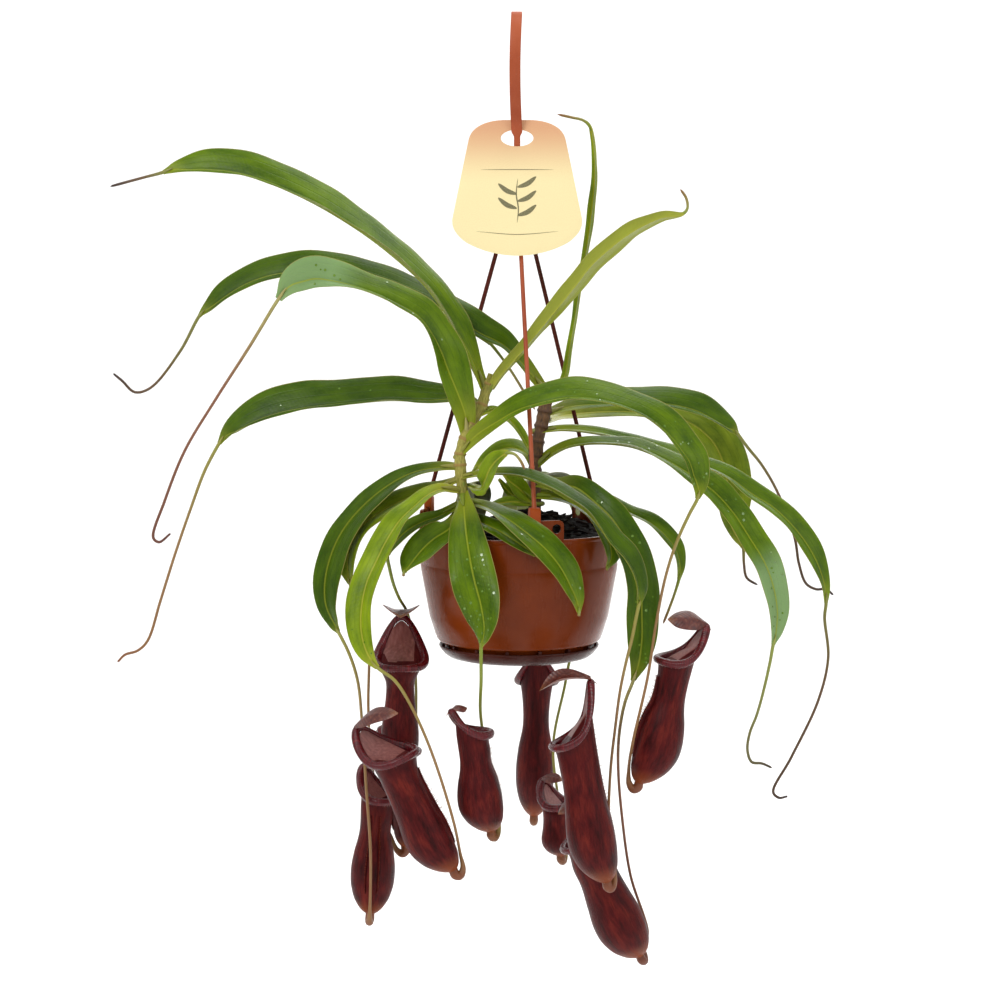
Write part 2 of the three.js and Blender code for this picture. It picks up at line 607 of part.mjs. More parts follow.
    tendril: [[61.5, -29, -49]] },
  { stem: 'right', side: 1, width: 18,
    blade: [[11, 42, 4, 5], [6, 54, 12, 8], [-3, 59, 19, 9], [-13, 58, 24, 9.5], [-23, 51, 27, 8],
      [-31, 42, 29, 3]],
    tendril: [[-35, 37, 29]] },
  // Leaves at the back, mostly hidden from the front.
  { stem: 'right', side: 1, width: 23, pitcher: 'f',
    blade: [[8, 32, 6], [4, 38, 32], [1, 30, 62], [-4, 8, 92], [-6, -18, 104], [-2, -44, 106]],
    tendril: [[3, -64, 106], [9, -90, 106], [14, -120, 106], [18, -160, 106]] },
  { stem: 'right', side: 1, width: 23, pitcher: 'g',
    blade: [[13.5, 39, 6], [26, 40, 30], [40, 27, 60], [50, 4, 88], [54, -20, 100],
      [50, -46, 100]],
    tendril: [[44, -68, 94], [36, -90, 82], [32, -110, 72], [24, -151, 62], [28, -190, 58],
      [34, -215, 52]] },
  { stem: 'left', side: 1, width: 24,
    blade: [[-39, 32, -30], [-34, 34, 0], [-31, 26, 34], [-36, 8, 68], [-42, -18, 86],
      [-44, -46, 90]],
    tendril: [[-43, -56, 90], [-40, -66, 90]] },
  { stem: 'left', side: 1, width: 13,
    blade: [[-23, 94, -18, 3], [-31, 113, -4, 3], [-40, 132, 8, 4], [-45, 146, 18, 6],
      [-38, 148, 22, 8], [-29, 139, 22, 8], [-20, 130, 20, 3]],
    tendril: [[-12, 120, 16], [-5, 110, 12], [3, 97, 8], [11, 84, -4]] },
];

const BLADE = { leastStations: 7, mostStations: 12, baseShare: 0.3, thickness: 0.9, fold: 0.34 };
const TENDRIL = { radius: 1.1, tip: 0.7, stepsPerPoint: 1.05 };

// Half the width at a share of the blade's length, as a share of the widest half.
function bladeWidth(share) {
  const rise = BLADE.baseShare
    + (1 - BLADE.baseShare) * Math.sin((Math.min(share / 0.45, 1) * Math.PI) / 2);
  if (share <= 0.55) return rise;
  return rise * (1 - ((share - 0.55) / 0.45) ** 2.6) ** 0.8;
}

// The blade's half width at a share of its length and the direction of its upper face there.
function bladeTurn(leaf, share, point, tangent, before) {
  const half = Math.max((leaf.width / 2) * bladeWidth(share), TENDRIL.radius);
  if (leaf.blade[0].length < 4) return { half, face: squareTo(before, tangent) };
  const shown = along(leaf.blade.map((spot) => spot[3]), share) / 2;
  const widest = Math.max(half, Math.abs(shown));
  const turn = Math.acos(shown / widest);
  const sight = point.clone().sub(EYE).normalize();
  const outward = new THREE.Vector3().crossVectors(sight, tangent).normalize();
  const face = squareTo(sight.negate(), tangent).multiplyScalar(Math.cos(turn));
  face.addScaledVector(outward, leaf.side * Math.sin(turn)).normalize();
  return { half: widest, face };
}

// Six points: the upper face's two edges and middle, then the lower face's.
function bladeRing(point, tangent, face, half, fold) {
  const across = new THREE.Vector3().crossVectors(face, tangent);
  const sink = -half * fold;
  const t = BLADE.thickness / 2;
  const section = [[-half, t], [0, sink + t], [half, t], [half, -t], [0, sink - t], [-half, -t]];
  return section.map(([sideways, height]) =>
    point.clone().addScaledVector(across, sideways).addScaledVector(face, height));
}

function tendrilRing(point, tangent, face, radius) {
  const across = new THREE.Vector3().crossVectors(face, tangent);
  return [150, 90, 30, -30, -90, -150].map((degrees) => {
    const angle = THREE.MathUtils.degToRad(degrees);
    const spot = point.clone().addScaledVector(across, radius * Math.cos(angle));
    return spot.addScaledVector(face, radius * Math.sin(angle));
  });
}

// The tendril's last turn: down beside the jug's foot, round below it and up to its tip.
function hookUnder(pitcher) {
  const { foot, front, up } = pitcherFrame(pitcher);
  const turn = [[9, 9], [6.4, -1], [2.6, -4.2], [0.1, -2.2], [0, -GAP]];
  return turn.map(([out, rise]) =>
    foot.clone().addScaledVector(front, out).addScaledVector(up, rise));
}

function leafGeometry(leaf) {
  const points = [...leaf.blade, ...leaf.tendril].map(place);
  if (leaf.pitcher) points.push(...hookUnder(PITCHERS[leaf.pitcher]));
  const curve = curveThrough(points);
  const tip = (leaf.blade.length - 1) / (points.length - 1);
  const rings = [];
  let face = new THREE.Vector3(0, 0, 1);
  const stations = THREE.MathUtils.clamp(leaf.blade.length, BLADE.leastStations, BLADE.mostStations);
  for (let i = 0; i < stations; i += 1) {
    const share = i / stations;
    const point = curve.getPoint(share * tip);
    const tangent = curve.getTangent(share * tip);
    const turned = bladeTurn(leaf, share, point, tangent, face);
    face = turned.face;
    rings.push(bladeRing(point, tangent, face, turned.half, leaf.fold ?? BLADE.fold));
  }
  const tendrilPoints = points.length - leaf.blade.length;
  const steps = Math.max(2, Math.round(tendrilPoints * TENDRIL.stepsPerPoint));
  for (let i = 0; i <= steps; i += 1) {
    const t = tip + ((1 - tip) * i) / steps;
    const tangent = curve.getTangent(t);
    face = squareTo(face, tangent);
    const taper = leaf.pitcher ? TENDRIL.radius : along([TENDRIL.radius, TENDRIL.tip], i / steps);
    rings.push(tendrilRing(curve.getPoint(t), tangent, face, taper));
  }
  return loft(rings, [3, 4]);
}

function leafSolid(leaf) {
  return largestOf(solidFrom(leafGeometry(leaf)).subtract(stemClearance[leaf.stem]));
}

// ---------- the young leaves at the foot of the right stem ----------

const SHOOT = [
  { width: 15, side: 1, blade: [[10, 20, -1, 5], [0, 30, -12, 13], [-10, 38, -20, 3]] },
  { width: 9, side: 1, blade: [[9, 18, -2, 3], [-5, 20, -20, 7], [-19, 18, -30, 2]] },
  { width: 7, side: 1, blade: [[9, 19, 0, 3], [-5, 25, -9, 6], [-14, 35, -13, 2]] },
];

function shootSolid() {
  const collar = new THREE.TorusGeometry(5.6, 1.6, 6, 12);
  const centre = place([11, 18, 2]);
  collar.translate(centre.x, centre.y, centre.z);
  const leaves = SHOOT.map((leaf) => solidFrom(leafGeometry({ tendril: [], ...leaf })));
  return largestOf(joined([solidFrom(collar), ...leaves]).subtract(stemClearance.right));
}

// ---------- pot, saucer and potting mix ----------

function latheFrom(profile, sides) {
  const geometry = new THREE.LatheGeometry(
    profile.map(([radius, height]) => new THREE.Vector2(radius, height)), sides);
  geometry.rotateX(Math.PI / 2);
  return geometry;
}

// Profiles of [radius, height]: the pot's cavity from its floor up, then its outside going down.
const POT_INSIDE = [[0, -82], [46, -82], [54.2, -75.5], [61, -58], [66.6, -24], [68.2, 0]];
const POT_OUTSIDE = [
  [70.2, 0], [70.6, -1.4], [69.1, -24], [62.6, -60], [56.4, -77.3], [51.6, POT.ledge],
  [51.2, -80.5], [47.5, -POT.height], [0, -POT.height],
];

// Turned so that its middle is at `azimuth` degrees to the right of straight ahead.
function roundTheRim(geometry, azimuth) {
  return geometry.rotateZ(THREE.MathUtils.degToRad(azimuth));
}

const earAzimuths = [0, 1, 2].map((i) => EAR.azimuth + (360 / STRAND.count) * i);

function earGeometry(azimuth) {
  const half = EAR.width / 2;
  const shape = new THREE.Shape();
  shape.moveTo(-half, EAR.foot);
  shape.lineTo(half, EAR.foot);
  shape.lineTo(half, EAR.height - EAR.cornerRight);
  shape.quadraticCurveTo(half, EAR.height, half - EAR.cornerRight, EAR.height);
  shape.lineTo(-half + EAR.cornerLeft, EAR.height);
  shape.quadraticCurveTo(-half, EAR.height, -half, EAR.height - EAR.cornerLeft);
  shape.closePath();
  const hole = new THREE.Path();
  hole.absarc(EAR.holeAcross, EAR.holeUp, EAR.holeRadius, 0, 2 * Math.PI, true);
  shape.holes.push(hole);
  const plate = new THREE.ExtrudeGeometry(shape, {
    depth: EAR.thickness, bevelEnabled: false, curveSegments: 4 });
  plate.rotateX(Math.PI / 2);
  plate.translate(0, EAR.thickness / 2 - EAR.radius, 0);
  return roundTheRim(plate, azimuth);
}

function potSolid() {
  const shell = solidFrom(latheFrom([...POT_INSIDE, ...POT_OUTSIDE], POT.sides));
  const ears = earAzimuths.map((azimuth) => solidFrom(earGeometry(azimuth)));
  let pot = joined([shell, ...ears]);
  for (let i = 0; i < POT.drainHoles; i += 1) {
    const drain = new THREE.CylinderGeometry(POT.drainRadius, POT.drainRadius, 8, POT.drainSides);
    drain.rotateX(Math.PI / 2);
    drain.translate(POT.drainRing, 0, -POT.height);
    drain.rotateZ((2 * Math.PI * i) / POT.drainHoles);
    pot = pot.subtract(solidFrom(drain));
  }
  return pot;
}

function saucerSolid() {
  const { rimRadius: rim, rimHeight: top } = SAUCER;
  const inside = [[0, top - 7], [44, top - 7], [50.6, top - 4.4], [rim - 1.6, top]];
  const outside = [[rim, top], [52.4, top - 5.6], [45, top - 9], [0, top - 9]];
  const dish = solidFrom(latheFrom([...inside, ...outside], POT.sides));
  const pegMiddle = POT.ledge - GAP - SAUCER.pegLength / 2;
  const pegs = Array.from({ length: SAUCER.pegs }, (_, i) => {
    const peg = new THREE.BoxGeometry(SAUCER.pegWidth, SAUCER.pegDepth, SAUCER.pegLength);
    peg.translate(0, -SAUCER.pegRing, pegMiddle);
    return solidFrom(roundTheRim(peg, SAUCER.firstPeg + (360 / SAUCER.pegs) * i));
  });
  return joined([dish, ...pegs]);
}

// The mix is heaped up a little behind and to the right of the pot's middle.
function soilHeight(radius, angle) {
  const x = radius * Math.cos(angle);
  const y = radius * Math.sin(angle);
  const fromHeap = (x - SOIL.heapX) ** 2 + (y - SOIL.heapY) ** 2;
  const heap = SOIL.heap * Math.exp(-fromHeap / (2 * SOIL.heapRadius ** 2));
  const lumps = 1.1 * Math.sin(x * 0.41 + 1.3) * Math.sin(y * 0.37 + 0.6)
    + 0.8 * Math.sin(x * 0.83 + y * 0.71);
  return SOIL.edge + heap + (lumps + SOIL.dome) * (1 - radius / SOIL.radius);
}

function soilGeometry() {
  const angles = Array.from({ length: SOIL.sides }, (_, k) => (2 * Math.PI * k) / SOIL.sides);
  const ring = (radius, heightAt) => angles.map((angle) =>
    new THREE.Vector3(radius * Math.cos(angle), radius * Math.sin(angle), heightAt(radius, angle)));
  const wall = POT_INSIDE.slice(1, -1).reverse();
  return loft([
    ...SOIL.rings.map((radius) => ring(radius, soilHeight)),
    ring(SOIL.radius, () => SOIL.edge),
    ...wall.map(([radius, height]) => ring(radius - GAP * 1.4, () => height + GAP)),
  ]);
}

function soilSolid() {
  const solid = solidFrom(soilGeometry());
  return solid.subtract(stemClearance.left).subtract(stemClearance.right);
}

// ---------- hanger and tag ----------

// The strap's middle line in the plane across the view: [depth, height] above the rim. Its narrow
// neck goes through the tag's hole, and its last stretches are the hook.
const NECK_ROUTE = [[HUB.depth, HUB.top - 3], [0.4, 256], [-1.2, 265.4], [-1.9, 275]];
const CROWN = HANGING_DROP + STRAP.thickness / 2;
const HOOK_ROUTE = [
  [-1.7, 272.5], [-2.1, 278], [-5, 287], [-11.5, 305], [-15, 320], [-14.6, 333], [-11, 345],
  [-5, CROWN], [5, CROWN], [11, 345], [13, 339], [13.4, 333],
];

function strapOutline(route) {
  const half = STRAP.thickness / 2;
  const bend = route.map((point, i) => {
    const before = route[Math.max(i - 1, 0)];
    const after = route[Math.min(i + 1, route.length - 1)];
    const run = Math.hypot(after[0] - before[0], after[1] - before[1]);
    return { point, normal: [(after[1] - before[1]) / run, -(after[0] - before[0]) / run] };
  });
  const edge = (sign) => bend.map(({ point, normal }) =>
    new THREE.Vector2(point[0] + sign * half * normal[0], point[1] + sign * half * normal[1]));
  return [...edge(1), ...edge(-1).reverse()];
}

function strapSolid(route, width) {
  const strap = new THREE.ExtrudeGeometry(new THREE.Shape(strapOutline(route)), {
    depth: width, bevelEnabled: false });
  strap.rotateX(Math.PI / 2).rotateZ(Math.PI / 2);
  strap.translate(HUB.x - width / 2, 0, 0);
  return solidFrom(strap);
}

function hookSolid() {
  const hub = new THREE.CylinderGeometry(HUB.radius, HUB.radius, HUB.top - HUB.bottom, 12);
  hub.rotateX(Math.PI / 2).translate(HUB.x, HUB.depth, (HUB.top + HUB.bottom) / 2);
  return joined([solidFrom(hub), strapSolid(NECK_ROUTE, STRAP.neckWidth),
    strapSolid(HOOK_ROUTE, STRAP.width)]);
}

function strandSolid(azimuth) {
  const upright = (CLIP.top + CLIP.bottom) / 2;
  const height = CLIP.top - CLIP.bottom;
  const block = boxSolid(CLIP.width, CLIP.depth, height, CLIP.across, -EAR.radius, upright);
  const slotTop = EAR.height + GAP;
  const slotWidth = EAR.thickness + 2 * GAP;
  const slot = boxSolid(CLIP.width + 2, slotWidth, 2 * (slotTop - CLIP.bottom),
    CLIP.across, -EAR.radius, CLIP.bottom);
  const turn = THREE.MathUtils.degToRad(azimuth);
  const clip = block.subtract(slot).rotate([0, 0, azimuth]);
  const bottom = new THREE.Vector3(CLIP.across, -EAR.radius, CLIP.top - 1.5);
  bottom.applyAxisAngle(new THREE.Vector3(0, 0, 1), turn);
  const outward = new THREE.Vector3(bottom.x, bottom.y, 0).setLength(HUB.strandRing);
  const top = new THREE.Vector3(HUB.x, HUB.depth, HUB.bottom - GAP - STRAND.radius * 0.3);
  top.add(outward);
  const strand = loft(tubeRings(curveThrough([top, bottom]), 1, 8, () => STRAND.radius));
  return solidFrom(strand).add(clip);
}

// The right half of the tag's outline from topCorner down to the middle of its foot, as stretches of
// two control points and an end, across and up from the middle of its hole.
const TAG_HALF = [
  [[20, 13], [31.5, 9], [33.5, -1]],
  [[37, -18], [40.4, -36], [43.8, -53]],
  [[46.5, -62], [43, -67], [36, -73]],
  [[24, -80.5], [10, -83], [0, -83]],
];

function tagOutline() {
  const shape = new THREE.Shape();
  const starts = [TAG.topCorner, ...TAG_HALF.map((stretch) => stretch[2])];
  shape.moveTo(...TAG.topCorner);
  for (const stretch of TAG_HALF) shape.bezierCurveTo(...stretch.flat());
  for (let i = TAG_HALF.length - 1; i >= 0; i -= 1) {
    const back = [TAG_HALF[i][1], TAG_HALF[i][0], starts[i]];
    shape.bezierCurveTo(...back.flatMap(([across, up]) => [-across, up]));
  }
  return shape;
}

function tagHole() {
  const points = Array.from({ length: TAG.holeSides }, (_, k) => {
    const angle = (2 * Math.PI * k) / TAG.holeSides;
    return new THREE.Vector2(TAG.holeHalfWidth * Math.cos(angle), TAG.holeHalfHeight * Math.sin(angle));
  });
  return new THREE.Path(points);
}

function tagGeometry() {
  const shape = tagOutline();
  shape.holes.push(tagHole());
  const card = new THREE.ExtrudeGeometry(shape, {
    depth: TAG.thickness, bevelEnabled: false, curveSegments: 4 });
  card.translate(0, 0, -TAG.thickness / 2);
  card.rotateX(Math.PI / 2 - THREE.MathUtils.degToRad(TAG.lean));
  card.translate(HUB.x, TAG.holeDepth, TAG.holeHeight);
  return card;
}

// ---------- assembly ----------

const plant = new THREE.Group();
plant.position.set(-HUB.x, 0, -HANGING_DROP);

function add(name, geometry, skin) {
  const mesh = new THREE.Mesh(geometry, skin);
  mesh.name = name;
  plant.add(mesh);
}

add('hanger_hook', geometryOf(hookSolid()), hangerBrown);
['front', 'back_right', 'back_left'].forEach((end, i) => {
  add(`strand_${end}`, geometryOf(strandSolid(earAzimuths[i])), hangerBrown);
});
add('tag', tagGeometry(), tagCream);
add('pot', geometryOf(potSolid()), potBrown);
add('saucer', geometryOf(saucerSolid()), potBrown);
add('potting_mix', geometryOf(soilSolid()), soilBlack);
for (const [side, stem] of Object.entries(STEMS)) {
  add(`stem_${side}`, stemGeometry(stem, 0), stem.skin);
}
LEAVES.forEach((leaf, i) => {
  add(`leaf_${String(i + 1).padStart(2, '0')}`, geometryOf(leafSolid(leaf)), leafGreen);
});
add('basal_shoot', geometryOf(shootSolid()), leafGreen);
for (const [letter, pitcher] of Object.entries(PITCHERS)) {
  add(`pitcher_${letter}`, geometryOf(pitcherSolid(pitcher)), pitcherRed);
}

const whole = new THREE.Group();
whole.add(plant);

export default whole;
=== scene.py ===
"""The looks of a pitcher plant (Nepenthes) in a hanging pot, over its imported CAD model.

Shapes are laid out in millimetres in the plant's own frame, +Z up, with the origin in the middle of
the pot's rim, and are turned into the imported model's metres when each piece is made.
"""
import math
import random

import bmesh
import bpy
import numpy as np
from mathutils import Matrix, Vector


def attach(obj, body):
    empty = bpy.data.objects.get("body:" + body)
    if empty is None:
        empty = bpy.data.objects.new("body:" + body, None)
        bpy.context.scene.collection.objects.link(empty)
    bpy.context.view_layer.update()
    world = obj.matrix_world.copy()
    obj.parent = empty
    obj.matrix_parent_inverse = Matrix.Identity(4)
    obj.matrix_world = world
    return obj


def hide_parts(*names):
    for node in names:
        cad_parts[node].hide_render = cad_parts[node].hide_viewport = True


# ---------- driving dimensions, in millimetres ----------

HANGING_DROP = 354.8  # from the flat underside of the hook's crown down to the pot's rim
HUB = dict(x=-1.5, depth=0.8, radius=5.2, bottom=236.5, top=243, strand_ring=2.7, sides=48)
STRAP = dict(width=7.6, neck_width=4.4, thickness=2.2, corner=0.6, shoulder=(272, 276), bow=1.6,
             bow_length=90, full_from=8, rows=190)
STRAND = dict(radius=1.5, in_clip=1.5, below_hub=0.75, rows=60, sides=14)
CLIP = dict(across=-8, width=7.4, depth=5.4, bottom=5, top=22, slot=2.8, slot_top=13.3, middle=15)
EAR = dict(azimuth=15, radius=67.9, width=25, foot=-4, height=13, thickness=2.2, corner=3.4,
           hole=3.2, hole_across=7.5, hole_up=7.2, sides=180)
TAG = dict(thickness=0.5, lean=13.9, hole_height=271.3, hole_depth=-1.6, hole=(11.2, 5.9),
           sides=200)
POT = dict(drain_holes=6, drain_radius=3, drain_ring=30, drain_sides=24)
SAUCER = dict(pegs=15, peg_ring=53.6, first_peg=-9)
SOIL = dict(radius=66.6, edge=-5, skirt=3, dome=4, heap=13, heap_x=8, heap_y=12, heap_radius=34,
            rows=62, sides=180, chips=190, chip_ring=62, seed=41)

# The camera, which is also the eye that the plant is laid out from.
EYE = np.array([-13.3, -1800.0, 198.0])
VIEW_TILT = math.radians(5.63)
LENS = 93.1

# ---------- the plant, laid out as in its CAD source ----------

# A point is [across, up, depth]: where it shows from the front, and how far it is behind the
# middle of the pot's rim.

STEMS = dict(
    left=dict(
        route=[[-38, -22, -32], [-39, 17, -32], [-41, 43, -31], [-41, 54, -30], [-37, 66, -29],
               [-32, 76, -27], [-26, 87, -24], [-23, 98, -21], [-20, 109, -20]],
        radii=[3.4, 3.5, 4.0, 3.6, 3.9, 3.5, 3.8, 3.3, 1.4]),
    right=dict(
        route=[[11, -24, 2], [11, 20, 2], [11, 40, 3], [12, 54, 4], [14, 66, 4], [17, 78, 5],
               [19, 90, 5], [21, 101, 5]],
        radii=[4.4, 4.6, 4.3, 4.9, 4.2, 4.8, 4.4, 3.4]),
)

# base is the lowest point of the jug's axis and mouth the middle of its rim. tendril and lip are
# the headings, in plan, of the side the tendril comes down and of the lowest part of the rim: 0 is
# right and 90 is back. bulge, waist and rim are radii, and neck is how far the rim rises at its
# back.
PITCHERS = dict(
    a=dict(base=[-83.5, -172, -48], mouth=[-83, -90, -45], tendril=80, lip=270,
           bulge=13, waist=10, rim=15.5, neck=19),
    b=dict(base=[-52, -243, -100], mouth=[-91, -157, -96], tendril=15, lip=325,
           bulge=15.5, waist=13, rim=16.3, neck=15),
    c=dict(base=[-104, -268, -24], mouth=[-99, -184, -26], tendril=270, lip=330,
           bulge=15.5, waist=11, rim=12, neck=10),
    d=dict(base=[-74, -222, -4], mouth=[-83, -153, -4], tendril=180, lip=0,
           bulge=12.5, waist=10, rim=11.5, neck=9),
    e=dict(base=[-24.5, -214, -88], mouth=[-33, -140, -90], tendril=45, lip=15,
           bulge=15.2, waist=10.6, rim=11.5, neck=8),
    f=dict(base=[10.5, -203, 87], mouth=[12.5, -104, 86], tendril=90, lip=90,
           bulge=14.2, waist=9.8, rim=12.5, neck=12),
    g=dict(base=[27, -230, 40], mouth=[25, -190, 40], tendril=60, lip=320,
           bulge=11, waist=9, rim=9.5, neck=9),
    h=dict(base=[56, -250, -86], mouth=[39, -144, -84], tendril=40, lip=185,
           bulge=16.4, waist=13.4, rim=15.5, neck=26),
    i=dict(base=[82, -303, -40], mouth=[43, -214, -42], tendril=60, lip=200,
           bulge=17.6, waist=14, rim=14, neck=12),
    j=dict(base=[91, -180, -58], mouth=[112, -89, -58], tendril=180, lip=195,
           bulge=16, waist=10.8, rim=13.5, neck=17),
)

